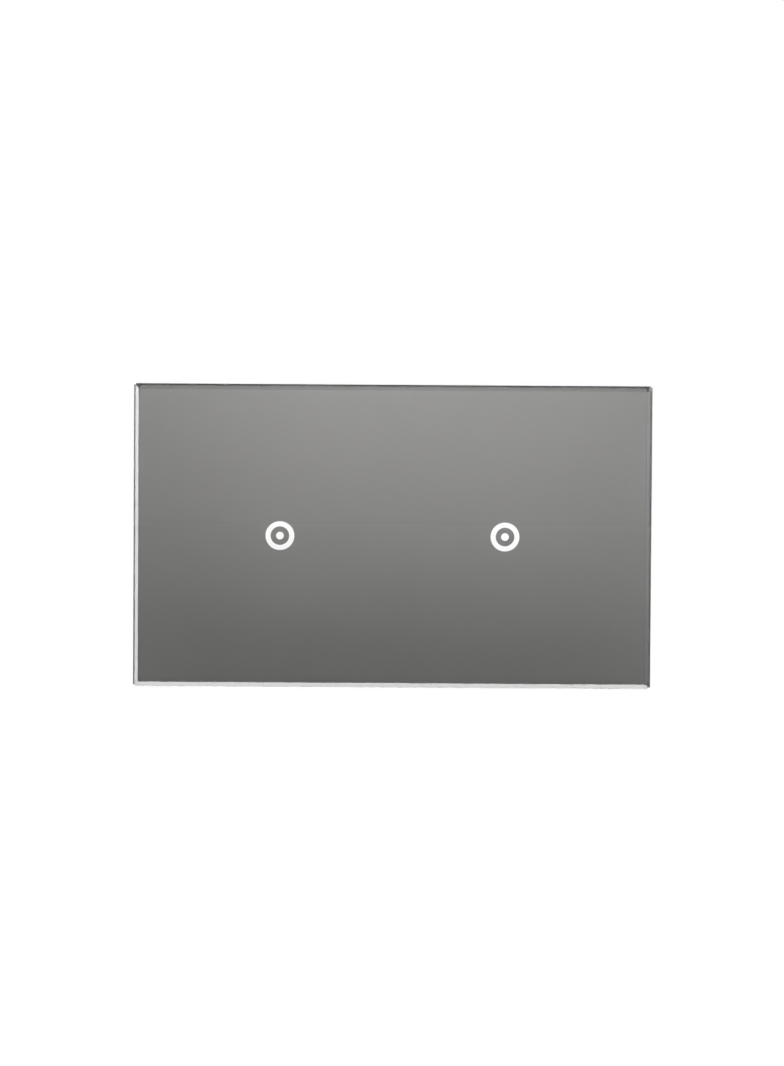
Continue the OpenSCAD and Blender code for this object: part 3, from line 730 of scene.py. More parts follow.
@dataclass(frozen=True)
class MouldedPlastic(Finish):
    """Plastic with the fine spark grain of its mould."""

    grain: float = 2600
    grain_depth: float = 0.02
    through: float = 0.0

    def detail(self, shades: Shades) -> None:
        """Adds the mould's grain and the light that goes through the wall."""
        shades.bump(shades.noise(self.grain, detail=2), strength=0.25, depth=self.grain_depth)
        shades.set(IOR=1.5, Subsurface_Weight=self.through, Subsurface_Scale=MM)


@dataclass(frozen=True)
class BareMetal(Finish):
    """Metal with fine lines along one way."""

    lines: PerAxis = (40, 900, 900)

    def detail(self, shades: Shades) -> None:
        """Adds the lines."""
        shades.set(Metallic=1.0)
        shades.bump(shades.noise(1, detail=3, stretch=self.lines), strength=0.12, depth=0.02)


@dataclass(frozen=True)
class GalvanisedSheet(BareMetal):
    """Steel sheet with the crystal spangle of its zinc."""

    spangle: float = 240

    def tint(self, shades: Shades) -> None:
        """Links a tone and a polish that change from crystal to crystal.

        Args:
            shades: The material's graph.
        """
        pick = shades.node("ShaderNodeSeparateColor")
        shades.link(shades.cells(self.spangle).outputs["Color"], pick.inputs["Color"])
        tone = pick.outputs["Red"]
        shades.paint(tone, self.stops((0, 1)), tone, self.rough(share=0.25))


@dataclass(frozen=True)
class ClearGlass(Finish):
    """Polished glass that lets the lamps reach what is behind it."""

    bend: float = 1.52

    def tint(self, shades: Shades) -> None:
        """Links a clear colour and a polish that varies very little.

        Args:
            shades: The material's graph.
        """
        clouds = shades.noise(self.clouds)
        tones = (toned(self.colour, 1 - self.variation), self.colour)
        shades.paint(clouds, list(zip(NOISE_ENDS, tones)), clouds, (0.0, self.roughness))

    def detail(self, shades: Shades) -> None:
        """Makes the glass clear, also for the rays from the lamps.

        Args:
            shades: The material's graph.
        """
        shades.set(Transmission_Weight=1.0, IOR=self.bend)
        shadow = shades.node("ShaderNodeLightPath").outputs["Is Shadow Ray"]
        clear = shades.node("ShaderNodeBsdfTransparent", {"Color": (*self.colour, 1)})
        shades.show(shades.mix(shadow, shades.shader.outputs["BSDF"], clear.outputs["BSDF"]))


@dataclass(frozen=True)
class BackEnamel(Finish):
    """Enamel fired on the back of glass, so that it has no gloss of its own."""

    def detail(self, shades: Shades) -> None:
        """Takes the gloss away."""
        shades.set(Specular_IOR_Level=0.0)


@dataclass(frozen=True)
class FoamTape(Finish):
    """Foam with small open cells."""

    pores: float = 2200

    def detail(self, shades: Shades) -> None:
        """Adds the cells."""
        shades.bump(shades.cells(self.pores).outputs["Distance"], strength=0.6, depth=0.1)


@dataclass(frozen=True)
class WoundWire(Finish):
    """Lacquered wire in even turns, or tape in even wraps."""

    turn: float = 0.2
    metallic: float = 1.0
    lacquer: float = 0.3

    # The wave texture's own turn, in radians, over a length of 1 at a scale of 1
    WAVE_RATE = 20

    def detail(self, shades: Shades) -> None:
        """Adds the turns.

        Args:
            shades: The material's graph.
        """
        scale = 2 * math.pi / (self.WAVE_RATE * self.turn * MM)
        turns = shades.pattern("ShaderNodeTexWave", {"Scale": scale}, bands_direction="Y")
        shades.set(Metallic=self.metallic, Coat_Weight=self.lacquer)
        shades.bump(turns.outputs["Fac"], strength=0.5, depth=self.turn / 3)


@dataclass(frozen=True)
class CircuitBoard(Finish):
    """A board with fields of copper under its lacquer, and narrow gaps between them."""

    fields: float = 190
    gap: float = 0.05
    gap_fade: float = 0.03
    gap_tone: float = 0.35

    def tint(self, shades: Shades) -> None:
        """Links a lacquer that is paler over the copper to the shader.

        Args:
            shades: The material's graph.
        """
        far, near = (shades.cells(self.fields, feature=feature, distance="CHEBYCHEV").outputs["Distance"]
                     for feature in ("F2", "F1"))
        copper = shades.maths("SUBTRACT", far, near)
        stops = ((self.gap, toned(self.colour, self.gap_tone)), (self.gap + self.gap_fade, self.colour))
        shades.paint(copper, stops, shades.noise(self.clouds), self.rough(share=0.2))
        shades.bump(shades.remap(copper, NOISE_ENDS, (0, 1)), strength=0.3, depth=0.03)


# Each slot's finish, by its colour, its roughness, its clouds in a metre and how far its tone varies
FINISHES: dict[Slot, Finish] = {
    Slot.GLASS: ClearGlass((0.985, 0.993, 0.988), 0.01, 60, 0.006),
    Slot.ENAMEL: BackEnamel((0.142, 0.140, 0.1365), 0.6, 70, 0.01),
    Slot.MARK: BackEnamel((0.80, 0.80, 0.80), 0.5, 3000, 0.02),
    Slot.TAPE: FoamTape((0.025, 0.025, 0.027), 0.8, 300, 0.1),
    Slot.TRAY: MouldedPlastic((0.024, 0.024, 0.026), 0.42, 200, 0.08),
    Slot.BASE: MouldedPlastic((0.78, 0.78, 0.76), 0.4, 90, 0.02, through=0.05),
    Slot.PLATE: GalvanisedSheet((0.50, 0.51, 0.52), 0.45, 70, 0.07),
    Slot.LEAF: BareMetal((0.55, 0.56, 0.58), 0.24, 200, 0.06),
    Slot.SCREW: BareMetal((0.72, 0.70, 0.64), 0.28, 400, 0.08, lines=(700, 700, 700)),
    Slot.HOUSING: MouldedPlastic((0.80, 0.80, 0.785), 0.38, 90, 0.02, through=0.05),
    Slot.BOARD: CircuitBoard((0.016, 0.15, 0.065), 0.28, 300),
    Slot.CHIP: MouldedPlastic((0.02, 0.02, 0.022), 0.5, 900, 0.1),
    Slot.LED: MouldedPlastic((0.88, 0.80, 0.50), 0.2, 1200, 0.06, through=0.3),
    Slot.DIFFUSER: MouldedPlastic((0.88, 0.88, 0.87), 0.32, 300, 0.02, through=0.4),
    Slot.GILT: BareMetal((0.92, 0.68, 0.32), 0.22, 500, 0.06, lines=(300, 300, 300)),
    Slot.RELAY: MouldedPlastic((0.025, 0.11, 0.42), 0.34, 200, 0.05),
    Slot.WINDING: WoundWire((0.72, 0.30, 0.13), 0.3, 500, 0.1),
    Slot.IRON: BareMetal((0.36, 0.35, 0.34), 0.42, 400, 0.1, lines=(500, 60, 500)),
    Slot.BRASS: BareMetal((0.80, 0.58, 0.28), 0.3, 300, 0.07, lines=(500, 60, 500)),
    Slot.CORE: WoundWire((0.78, 0.58, 0.07), 0.4, 300, 0.05, turn=1.6, metallic=0.0),
    Slot.SLEEVE: MouldedPlastic((0.018, 0.024, 0.06), 0.3, 300, 0.1, grain_depth=0.01),
    Slot.FILM: MouldedPlastic((0.42, 0.045, 0.025), 0.34, 300, 0.06, grain_depth=0.01),
    Slot.TERMINAL: MouldedPlastic((0.21, 0.22, 0.235), 0.42, 250, 0.05),
}


class Wardrobe:
    """Every finish's material, and the way a piece takes its place in the frame."""

    def __init__(self, frame: dict) -> None:
        """Makes the materials and reads each CAD node's slot from the record.

        Args:
            frame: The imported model, as it was loaded.
        """
        self.nodes: dict[str, Piece] = frame["nodes"]
        self.slots = {row["node"]: Slot(row["material_slot"]) for row in frame["record"]["subparts"]}
        self.materials = {slot: finish.material(slot) for slot, finish in FINISHES.items()}
        self.replaced: set[str] = set()

    def dress(self, piece: Piece, body: str, node: str, slot: Slot | None = None) -> None:
        """Gives a piece its material and body, and hides the CAD node that it stands for.

        Args:
            piece: The finished piece.
            body: The CAD body that it rides on.
            node: The CAD node that it stands for.
            slot: Its material slot, where that isn't the node's.
        """
        slot = slot or self.slots[node]
        piece.data.materials.clear()
        piece.data.materials.append(self.materials[slot])
        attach(piece, body)
        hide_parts(node)
        self.replaced.add(node)
        LOG.info("%s on %s, for %s, %d faces", piece.name, body, node, len(piece.data.polygons))

    def dress_nodes(self) -> None:
        """Gives each CAD node that still shows its material."""
        for name, node in self.nodes.items():
            if name in self.replaced:
                continue
            node.material_slots[0].material = self.materials[self.slots[name]]
            LOG.info("%s keeps its CAD shape in %s", name, self.slots[name].value)


# Screws


@dataclass(frozen=True)
class Screw:
    """A slotted screw that points out of the wall, with its tip at the back."""

    shaft_d: float
    head_d: float
    tip_z: float
    top_z: float
    head_h: float
    countersunk: bool = True
    neck: Pair | None = None
    slot_w: float = 0.9
    slot_t: float = 0.8
    crown: float = 0.12
    rim: float = 0.15
    edge: float = 0.05

    def profile(self) -> list[Pair]:
        """Gives the screw's outline.

        Returns:
            Pairs of radius and z, from the tip to the top.
        """
        shaft, head = self.shaft_d / 2, self.head_d / 2
        tip = self.shaft_d / 4
        under = self.top_z - self.head_h
        line = [(0.0, self.tip_z), (shaft - tip, self.tip_z), (shaft, self.tip_z + tip)]
        if self.neck:
            neck_d, neck_z = self.neck
            line += [(shaft, neck_z), (neck_d / 2, neck_z), (neck_d / 2, under)]
        else:
            line += [(shaft, under)]
        if not self.countersunk:
            line += [(head - self.rim, under), (head, under + self.rim)]
        line += [(head, self.top_z - 2 * self.crown), (head - 2 * self.crown, self.top_z - self.crown / 3)]
        return line + [(head / 2, self.top_z), (0.0, self.top_z)]

    def build(self, name: str) -> Piece:
        """Models the screw on the wall's middle.

        Args:
            name: The piece's name.

        Returns:
            The new object.
        """
        piece = lathe(name, (0, 0), self.profile(), sides=40)
        slot_z = (self.top_z - self.slot_t, self.top_z + PAST)
        cut(piece, [slab("driver", (2 * self.head_d, self.slot_w), slot_z)])
        return soften(piece, self.edge)


@dataclass(frozen=True)
class Thread:
    """A sharp ridge wound round an axis on the wall's middle."""

    diameter: float
    depth: float
    pitch: float
    z: Pair
    steps: int = 24

    # The height of an even triangle, as a share of its circle's radius
    TRIANGLE = 1.5

    def build(self, name: str) -> Piece:
        """Winds the ridge.

        Args:
            name: The piece's name.

        Returns:
            The new object.
        """
        back, front = self.z
        radius = self.depth / self.TRIANGLE
        bpy.ops.object.select_all(action="DESELECT")
        bpy.ops.mesh.primitive_circle_add(
            vertices=3, radius=radius * MM, rotation=(0, 0, -math.pi / 2),
            location=wall_point(self.diameter / 2 - radius, 0, front - radius))
        ridge = name_new(name)
        turns = int((front - back - 2 * radius) / self.pitch)
        modify(ridge, "SCREW", axis="Y", screw_offset=self.pitch * MM, iterations=turns, steps=self.steps,
               render_steps=self.steps)
        with editing(ridge):
            bpy.ops.mesh.fill_holes(sides=0)
        return smooth(mend(ridge), angle=50)


# Sub-assemblies


@dataclass
class GlassCover:
    """The cover that pulls off: glass, its colour layer and marks, tape and the tray under them."""

    wardrobe: Wardrobe
    size: Pair = (147, 86)
    front_z: float = 10
    back_z: float = 5.93
    bevel: float = 1.7
    corner: float = 0.6
    arris: float = 0.04
    arris_angle: float = 20
    tray_inset: float = 0.2
    tray_z: Pair = (0.5, 5.25)
    tray_floor_z: float = 3.75
    skirt: float = 2.8
    tray_corner: float = 0.3
    tray_edge: float = 0.25
    sensor_hole_d: float = 18
    mark_x: float = 32
    pry_w: float = 9
    pry_h: float = 1.2
    pry_in: float = 0.5
    tape_edge: float = 0.1
    body: str = "cover"

    def build(self) -> None:
        """Models and dresses the cover's pieces."""
        self.wardrobe.dress(self.glass(), self.body, "glass_panel")
        self.wardrobe.dress(self.tray(), self.body, "panel_frame")
        tape = self.wardrobe.nodes["bonding_tape"]
        self.wardrobe.dress(eased_copy(tape, self.tape_edge), self.body, tape.name)

    def glass(self) -> Piece:
        """Models the glass, with its wide front bevel and its thin arris.

        Returns:
            The new object.
        """
        pane = slab("bevelled_glass", self.size, (self.back_z, self.front_z))
        round_edges(pane, lambda mid, way: mid.z > self.front_z - NEAR, self.bevel)
        through = (self.back_z - PAST, self.front_z + PAST)
        grinder = slab("grinder", grown(self.size, self.arris / 2), through)
        round_edges(grinder, upright, self.corner, segments=6)
        combine(pane, [grinder], Operation.SHARE)
        ease(pane, self.arris, angle=self.arris_angle)
        take(pane)
        bpy.ops.object.shade_flat()
        return pane

    def tray(self) -> Piece:
        """Models the tray, with its skirt, the sensor holes and the notch that it is pried off by.

        Returns:
            The new object.
        """
        size = grown(self.size, -self.tray_inset)
        inner = grown(size, -self.skirt)
        back, front = self.tray_z
        tray = slab("cover_tray", size, self.tray_z)
        round_edges(tray, upright, self.tray_corner, segments=6)
        room = slab("room", inner, (back - PAST, self.tray_floor_z))
        hole, through = self.sensor_hole_d / 2, (back, front + PAST)
        holes = [rod("hole", (side * self.mark_x, 0), hole, through, sides=64) for side in SIDES]
        half, low, high = self.pry_w / 2, -size[1] / 2 - PAST, self.pry_in - inner[1] / 2
        notch = block("notch", (-half, half), (low, high), (back - PAST, back + self.pry_h))
        cut(tray, [room, *holes, notch])
        return soften(tray, self.tray_edge, segments=3)


@dataclass
class WallBase:
    """What stays on the wall: the moulded base, its steel plate, leaf springs and screws."""

    wardrobe: Wardrobe
    size: Pair = (139, 78)
    corner: float = 1
    top_z: float = 3.2
    edge: float = 0.16
    pocket: Pair = (131.8, 70.8)
    plate: Pair = (131.5, 70.5)
    plate_z: float = 1.2
    plate_corner: float = 2
    plate_edge: float = 0.1
    plate_hole_d: float = 2.6
    module_x: float = 32
    flange_hole: Pair = (46.6, 54.6)
    flange_top_z: float = 2.3
    window: Pair = (42.6, 50.6)
    box_x: float = 60.3
    box_hole: Pair = (10.4, 7.6)
    box_slot: Pair = (7, 4.2)
    frame_screw_x: tuple[float, ...] = (-46, 0, 46)
    frame_screw_y: float = 31.125
    frame_hole: Pair = (2.8, 5.1)
    leaf: Pair = (15.6, 1.6)
    leaf_x: float = 30
    leaf_side_y: float = 14.6
    leaf_edge: float = 0.06
    body: str = "base"
    frame_screw: Screw = Screw(shaft_d=2.5, head_d=4.8, tip_z=0.1, top_z=3.2, head_h=1.15)
    box_screw: Screw = Screw(shaft_d=2.9, head_d=7, tip_z=-25, top_z=3.4, head_h=2.2,
                             countersunk=False, neck=(3, -0.3), crown=0.3)
    box_thread: Thread = Thread(diameter=3.5, depth=0.45, pitch=1.1, z=(-23.6, -0.4))

    def build(self) -> None:
        """Models and dresses the base's pieces."""
        self.wardrobe.dress(self.moulding(), self.body, "base_frame")
        self.wardrobe.dress(self.steel_plate(), self.body, "mounting_plate")
        leaves = self.wardrobe.nodes["edge_springs"]
        self.wardrobe.dress(eased_copy(leaves, self.leaf_edge), self.body, leaves.name)
        self.fasten()

    def frame_places(self) -> list[Pair]:
        """Gives the places of the frame screws."""
        return [(x, side * self.frame_screw_y) for side in SIDES for x in self.frame_screw_x]

    def windows(self, size: Pair, z: Pair) -> list[Piece]:
        """Makes the cutters for the two modules."""
        return [slab("window", size, z, (side * self.module_x, 0)) for side in SIDES]

    def box_slots(self, size: Pair, z: Pair) -> list[Piece]:
        """Makes the cutters for the two box screws."""
        return [slot_bar("slot", (side * self.box_x, 0), size, z) for side in SIDES]

    def leaf_recesses(self, z: Pair) -> list[Piece]:
        """Makes the cutters for the leaf springs along the four edges.

        Args:
            z: Their back and front ends.

        Returns:
            The cutters.
        """
        length, depth = self.leaf
        reach = depth + PAST
        out_x, out_y = ((end + PAST - depth) / 2 for end in self.size)
        cutters = []
        for side in SIDES:
            for along in SIDES:
                cutters.append(slab("recess", (length, reach), z, (along * self.leaf_x, side * out_y)))
                cutters.append(slab("recess", (reach, length), z, (side * out_x, along * self.leaf_side_y)))
        return cutters

    def moulding(self) -> Piece:
        """Models the base, with its windows, screw holes and spring recesses.

        Returns:
            The new object.
        """
        base = slab("base_moulding", self.size, (0, self.top_z))
        round_edges(base, upright, self.corner, segments=4)
        back, top = through = (-PAST, self.top_z + PAST)
        cutters = [slab("pocket", self.pocket, (back, self.plate_z))]
        cutters += self.windows(self.flange_hole, (0, self.flange_top_z))
        cutters += self.windows(self.window, (0, top))
        cutters += self.box_slots(self.box_hole, through) + self.leaf_recesses(through)
        cutters += countersinks(self.frame_places(), self.frame_hole, (0, self.top_z))
        cut(base, cutters)
        return soften(base, self.edge)

    def steel_plate(self) -> Piece:
        """Models the plate against the wall, with its windows, slots and screw holes.

        Returns:
            The new object.
        """
        plate = slab("steel_plate", self.plate, (0, self.plate_z))
        round_edges(plate, upright, self.plate_corner, segments=6)
        through = (-PAST, self.plate_z + PAST)
        cutters = self.windows(self.window, through) + self.box_slots(self.box_slot, through)
        hole = self.plate_hole_d / 2
        cutters += [rod("hole", place, hole, through, sides=32) for place in self.frame_places()]
        cut(plate, cutters)
        return soften(plate, self.plate_edge)

    def fasten(self) -> None:
        """Models one screw of each kind and copies it to its places."""
        first = self.frame_screw.build("frame_screw")
        for number, place in enumerate(self.frame_places(), 1):
            self.wardrobe.dress(copy_to(first, f"frame_screw_{number}", *place), self.body, "frame_screws")
        bpy.data.objects.remove(first)
        first = self.box_screw.build("box_screw")
        take(self.box_thread.build("box_thread"))
        first.select_set(True)
        bpy.context.view_layer.objects.active = first
        bpy.ops.object.join()
        for gang in Gang:
            twin = copy_to(first, f"box_screw_{gang.tag}", gang.value * self.box_x)
            self.wardrobe.dress(twin, self.body, "box_screws")
        bpy.data.objects.remove(first)


@dataclass
class TouchModules:
    """Both gangs, which are alike: housing and lid, touch side, switching side and two terminals each."""

    wardrobe: Wardrobe
    pitch: float = 64
    size: Pair = (42, 50)
    wall: float = 1.5
    corner: float = 0.6
    edge: float = 0.12
    flange: Pair = (46, 54)
    flange_z: Pair = (1.2, 2.2)
    step_y: float = -12.9
    step_z: float = -21.7
    step_lap: float = 0.5
    rear_z: float = -25.9084
    ledge: float = 0.6
    touch_back_z: float = -1.6
    power_back_z: float = -6.8
    post: float = 3.6
    post_foot: float = 1
    terminal_x: Pair = (-7, 7)
    pod_hole_w: float = 10.5
    pod_fit: float = 0.1
    screw_y: float = -18.6
    driver_d: float = 4.4
    vent: Pair = (1.6, 15)
    vent_pitch: float = 3.2
    vents: int = 5
    transformer: Pair = (9.2, 11.2)
    relay: Pair = (-10.4, 9.4)
    label: Pair = (15.5, 19.8)
    label_t: float = 0.3
    groove: Pair = (0.4, 1.4)
    groove_pitch: float = 3.4
    grooves: int = 4
    lid_top_z: float = 3.4
    lid_corner: float = 0.8
    lid_edge: float = 0.14
    lid_hole_d: float = 13.4
    lid_hole_z: float = 1
    rim_wall: float = 1
    rim_fit: float = 0.15
    screw_at: Pair = (17.7, 21.7)
    screw_hole: Pair = (2.5, 4.3)
    screw_hole_z: float = 0.5
    coil_r: float = 5.5
    wire_r: float = 0.3
    coil_turns: float = 3.5
    coil_steps: int = 40
    coil_leg: float = 0.6
    coil_bend: float = 0.5
    bend_steps: int = 8
    coil_h: float = 5.75
    bobbin_d: float = 9.6
    bobbin_t: float = 0.8
    bobbin_wall: float = 0.5
    bobbin_edge: float = 0.1
    core_d: float = 4
    core_reach: float = 0.3
    core_edge: float = 0.15
    winding_d: float = 9
    winding_wire: float = 0.3
    clamp_edge: float = 0.15
    body: str = "base"
    lid_screw: Screw = Screw(shaft_d=2.2, head_d=4, tip_z=-11.8, top_z=3.4, head_h=0.9)
    terminal_screw: Screw = Screw(shaft_d=2.9, head_d=5.4, tip_z=12.85, top_z=18.5, head_h=1.8,
                                  countersunk=False, crown=0.25)

    # The CAD nodes whose edges are rounded, with the width of the rounding
    EASED = (("terminal_pods", 0.2), ("light_guide", 0.2), ("relay_cover", 0.35), ("relay_base", 0.1),
             ("transformer", 0.3), ("capacitor", 0.25), ("film_capacitor", 0.2), ("touch_chip", 0.08),
             ("terminal_bars", 0.1), ("relay_yoke", 0.1), ("relay_contacts", 0.08))

    # The places across a turn of wire where the winding's outline has a point
    TURN_PARTS = (0.05, 0.25, 0.5, 0.75)

    def place(self, gang: Gang) -> float:
        """The middle of a gang on the wall."""
        return gang.value * self.pitch / 2

    def build(self) -> None:
        """Models and dresses the modules' pieces, each once for both gangs."""
        self.fit(self.housing(), "module_housing")
        self.fit(self.lid(), "module_cover")
        self.fit(self.sensor_spring(), "sensor_spring")
        for name, width in self.EASED:
            self.fit_eased(name, width)
        self.wind_relay()
        self.fasten()
        self.fit_terminals()

    def fit(self, piece: Piece, node: str, slot: Slot | None = None) -> None:
        """Gives each gang a copy of a piece and removes the piece.

        Args:
            piece: The piece, modelled about the wall's middle.
            node: The CAD node that it stands for, without the gang's name.
            slot: Its material slot, where that isn't the node's.
        """
        for gang in Gang:
            twin = copy_to(piece, f"{piece.name}_{gang.tag}", self.place(gang))
            self.wardrobe.dress(twin, self.body, f"{node}_{gang.tag}", slot)
        bpy.data.objects.remove(piece)

    def fit_eased(self, name: str, width: float) -> None:
        """Rounds the left gang's CAD shape and gives the right gang a copy of it.

        Args:
            name: The CAD node, without the gang's name.
            width: The width of the rounding.
        """
        left, right = (f"{name}_{gang.tag}" for gang in Gang)
        piece = eased_copy(self.wardrobe.nodes[left], width)
        twin = copy_to(piece, f"{right}_eased", self.pitch)
        self.wardrobe.dress(piece, self.body, left)
        self.wardrobe.dress(twin, self.body, right)

    def housing(self) -> Piece:
        """Models the housing, with its step, flange, posts, vents, label recess and grip grooves.

        Returns:
            The new object.
        """
        half_w, half_h, wall = self.size[0] / 2, self.size[1] / 2, self.wall
        across, top, past = (-half_w, half_w), self.flange_z[1], self.flange_z[1] + PAST
        shell = block("housing_shell", across, (self.step_y, half_h), (self.rear_z, top))
        fuse(shell, [block("step", across, (-half_h, self.step_y + wall), (self.step_z, top))])
        round_edges(shell, self.outer_edge, self.corner, segments=3)
        fuse(shell, [slab("flange", self.flange, self.flange_z)])
        across, in_h, step_in = (wall - half_w, half_w - wall), half_h - wall, self.step_y + wall
        cut(shell, [
            block("room", across, (step_in, in_h), (self.rear_z + wall, past)),
            block("step_room", across, (-in_h, step_in + self.step_lap), (self.step_z + wall, past)),
            slab("touch_room", grown(self.size, self.ledge - wall), (self.touch_back_z, past))])
        fuse(shell, self.posts())
        cut(shell, self.openings())
        return soften(shell, self.edge)

    def outer_edge(self, mid: Vector, way: Vector) -> bool:
        """Says whether an edge lies behind the housing's front, save the inside corner of its step."""
        inside = abs(way.x) > ALONG and abs(mid.y - self.step_y) < NEAR and abs(mid.z - self.step_z) < NEAR
        return mid.z < self.flange_z[1] - NEAR and not inside

    def posts(self) -> list[Piece]:
        """Makes the posts that carry the power board, each a little into the walls beside it.

        Returns:
            The posts.
        """
        width = self.post + BITE
        x, y = (at + BITE / 2 for at in self.screw_at)
        made = []
        for a in SIDES:
            for b in SIDES:
                foot = (self.step_z if b < 0 else self.rear_z) + self.post_foot
                made.append(slab("post", (width, width), (foot, self.power_back_z), (a * x, b * y)))
        return made

    def openings(self) -> list[Piece]:
        """Makes the cutters for the wires, the driver, the vents, the label and the grooves.

        Returns:
            The cutters.
        """
        half_w, half_h, wall = self.size[0] / 2, self.size[1] / 2, self.wall
        step_in, rear_in = self.step_z + wall, self.rear_z + wall
        half, low = self.pod_hole_w / 2, (-half_h - PAST, -half_h + wall + BITE)
        wire_z, driver_z = (step_in, self.power_back_z + self.pod_fit), (self.step_z - PAST, step_in + BITE)
        made = []
        for x in self.terminal_x:
            made.append(block("wire_hole", (x - half, x + half), low, wire_z))
            made.append(rod("driver_hole", (x, self.screw_y), self.driver_d / 2, driver_z))
        width, length = self.vent
        half, high = width / 2, (half_h - wall, half_h + PAST)
        vent_z, side_vent_z = (self.rear_z - PAST, rear_in + BITE), (rear_in + width, rear_in + length / 2)
        for x in spaced(self.transformer[0], self.vents, self.vent_pitch):
            made.append(slab("vent", self.vent, vent_z, (x, self.transformer[1])))
            made.append(block("vent", (x - half, x + half), high, side_vent_z))
        made.append(slab("label", self.label, (self.rear_z - PAST, self.rear_z + self.label_t), self.relay))
        depth, width = self.groove
        out, groove_z = half_w + (PAST - depth) / 2, (self.rear_z + self.vent[0], self.power_back_z)
        for side in SIDES:
            for y in spaced(self.relay[1], self.grooves, self.groove_pitch):
                made.append(slab("groove", (depth + PAST, width), groove_z, (side * out, y)))
        return made

    def lid(self) -> Piece:
        """Models the lid, with its rim, the sensor hole and the countersunk screw holes.

        Returns:
            The new object.
        """
        under, top = self.flange_z[1], self.lid_top_z
        lid = slab("module_lid", self.size, (under, top))
        round_edges(lid, upright, self.lid_corner, segments=4)
        rim = grown(self.size, self.ledge - self.wall - self.rim_fit)
        fuse(lid, [slab("rim", rim, (0, (under + top) / 2))])
        room = slab("room", grown(rim, -self.rim_wall), (-PAST, under))
        hole = rod("sensor_hole", (0, 0), self.lid_hole_d / 2, (self.lid_hole_z, top + PAST), sides=64)
        x, y = self.screw_at
        places = [(a * x, b * y) for a in SIDES for b in SIDES]
        sinks = countersinks(places, self.screw_hole, (self.screw_hole_z, top))
        cut(lid, [room, hole, *sinks])
        return soften(lid, self.lid_edge)

    def coil_line(self) -> list[Vector]:
        """Gives the line of the sensor spring's wire.

        Returns:
            Places in the frame's metres, from the board to the glass.
        """
        leg, bend, radius = self.coil_leg, self.coil_bend, self.coil_r
        rise = self.coil_h - 2 * (leg + bend)
        quarter = [math.pi / 2 * k / self.bend_steps for k in range(self.bend_steps + 1)]
        line = [(radius, -bend, 0.0)]
        line += [(radius, -bend * (1 - math.sin(q)), leg + bend - bend * math.cos(q)) for q in quarter]
        steps = int(self.coil_steps * self.coil_turns)
        full = 2 * math.pi * self.coil_turns
        for k in range(1, steps):
            a = full * k / steps
            line.append((radius * math.cos(a), radius * math.sin(a), leg + bend + rise * k / steps))
        out, along = (math.cos(full), math.sin(full)), (-math.sin(full), math.cos(full))
        for q in quarter:
            reach = bend * math.sin(q)
            x, y = (radius * o + reach * a for o, a in zip(out, along))
            line.append((x, y, self.coil_h - leg - bend * math.cos(q)))
        line.append((line[-1][0], line[-1][1], self.coil_h))
        return [wall_point(*place) for place in line]

    def sensor_spring(self) -> Piece:
        """Models the sensor spring as one smooth wire.

        Returns:
            The new object.
        """
        bpy.ops.object.select_all(action="DESELECT")
        bpy.ops.curve.primitive_nurbs_path_add(location=(0, 0, 0))
        wire = bpy.context.view_layer.objects.active
        wire.name = "touch_spring"
        places = self.coil_line()
        wire.data.splines.clear()
        spline = wire.data.splines.new("POLY")
        spline.points.add(len(places) - 1)
        for point, place in zip(spline.points, places):
            point.co = (*place, 1)
        wire.data.bevel_depth = self.wire_r * MM
        wire.data.bevel_resolution = 3
        wire.data.use_fill_caps = True
        take(wire)
        bpy.ops.object.convert(target="MESH")
        return smooth(mend(bpy.context.view_layer.objects.active), angle=50)

    def wind_relay(self) -> None:
        """Models the relay's coil as a bobbin, the turns of wire on it and the core through it."""
        name = "relay_coil"
        one, other = (wall_place(corner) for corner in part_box(f"{name}_{Gang.LEFT.tag}"))
        at = ((one.x + other.x) / 2 - self.place(Gang.LEFT), (one.y + other.y) / 2)
        front, back = max(one.z, other.z), min(one.z, other.z)
        rear = back + self.core_reach
        flange, core, edge = self.bobbin_d / 2, self.core_d / 2, self.bobbin_t
        tube = core + self.bobbin_wall
        high, low = front - edge, rear + edge
        line = [(core, front), (flange, front), (flange, high), (tube, high), (tube, low),
                (flange, low), (flange, rear), (core, rear), (core, front)]
        self.fit(soften(lathe("relay_bobbin", at, line), self.bobbin_edge), name, Slot.CHIP)
        winding = lathe("relay_winding", at, self.turns((high, low), tube))
        self.fit(smooth(winding, angle=60), name, Slot.WINDING)
        pin = lathe("relay_core", at, [(0, front), (core, front), (core, back), (0, back)])
        self.fit(soften(pin, self.core_edge), name, Slot.IRON)

    def turns(self, z: Pair, inner: float) -> list[Pair]:
        """Gives the outline of a winding, with a round for each turn of wire.

        Args:
            z: Its front and back ends.
            inner: The radius of the tube that it is wound on.

        Returns:
            Pairs of radius and z, back to the first.
        """
        outer, wire = self.winding_d / 2, self.winding_wire
        count = int((z[0] - z[1]) / wire)
        pitch = (z[0] - z[1]) / count
        line = [(inner, z[0])]
        for k in range(count):
            for part in self.TURN_PARTS:
                line.append((outer - wire / 2 * (1 - math.sin(math.pi * part)), z[0] - (k + part) * pitch))
        return [*line, (outer - wire / 2, z[1]), (inner, z[1]), (inner, z[0])]

    def fasten(self) -> None:
        """Models one of the lids' screws and copies it to the four posts of each gang."""
        first = self.lid_screw.build("lid_screw")
        x, y = self.screw_at
        for gang in Gang:
            places = [(self.place(gang) + a * x, b * y) for b in SIDES for a in SIDES]
            for number, place in enumerate(places, 1):
                twin = copy_to(first, f"lid_screw_{gang.tag}_{number}", *place)
                self.wardrobe.dress(twin, self.body, f"module_screws_{gang.tag}")
        bpy.data.objects.remove(first)

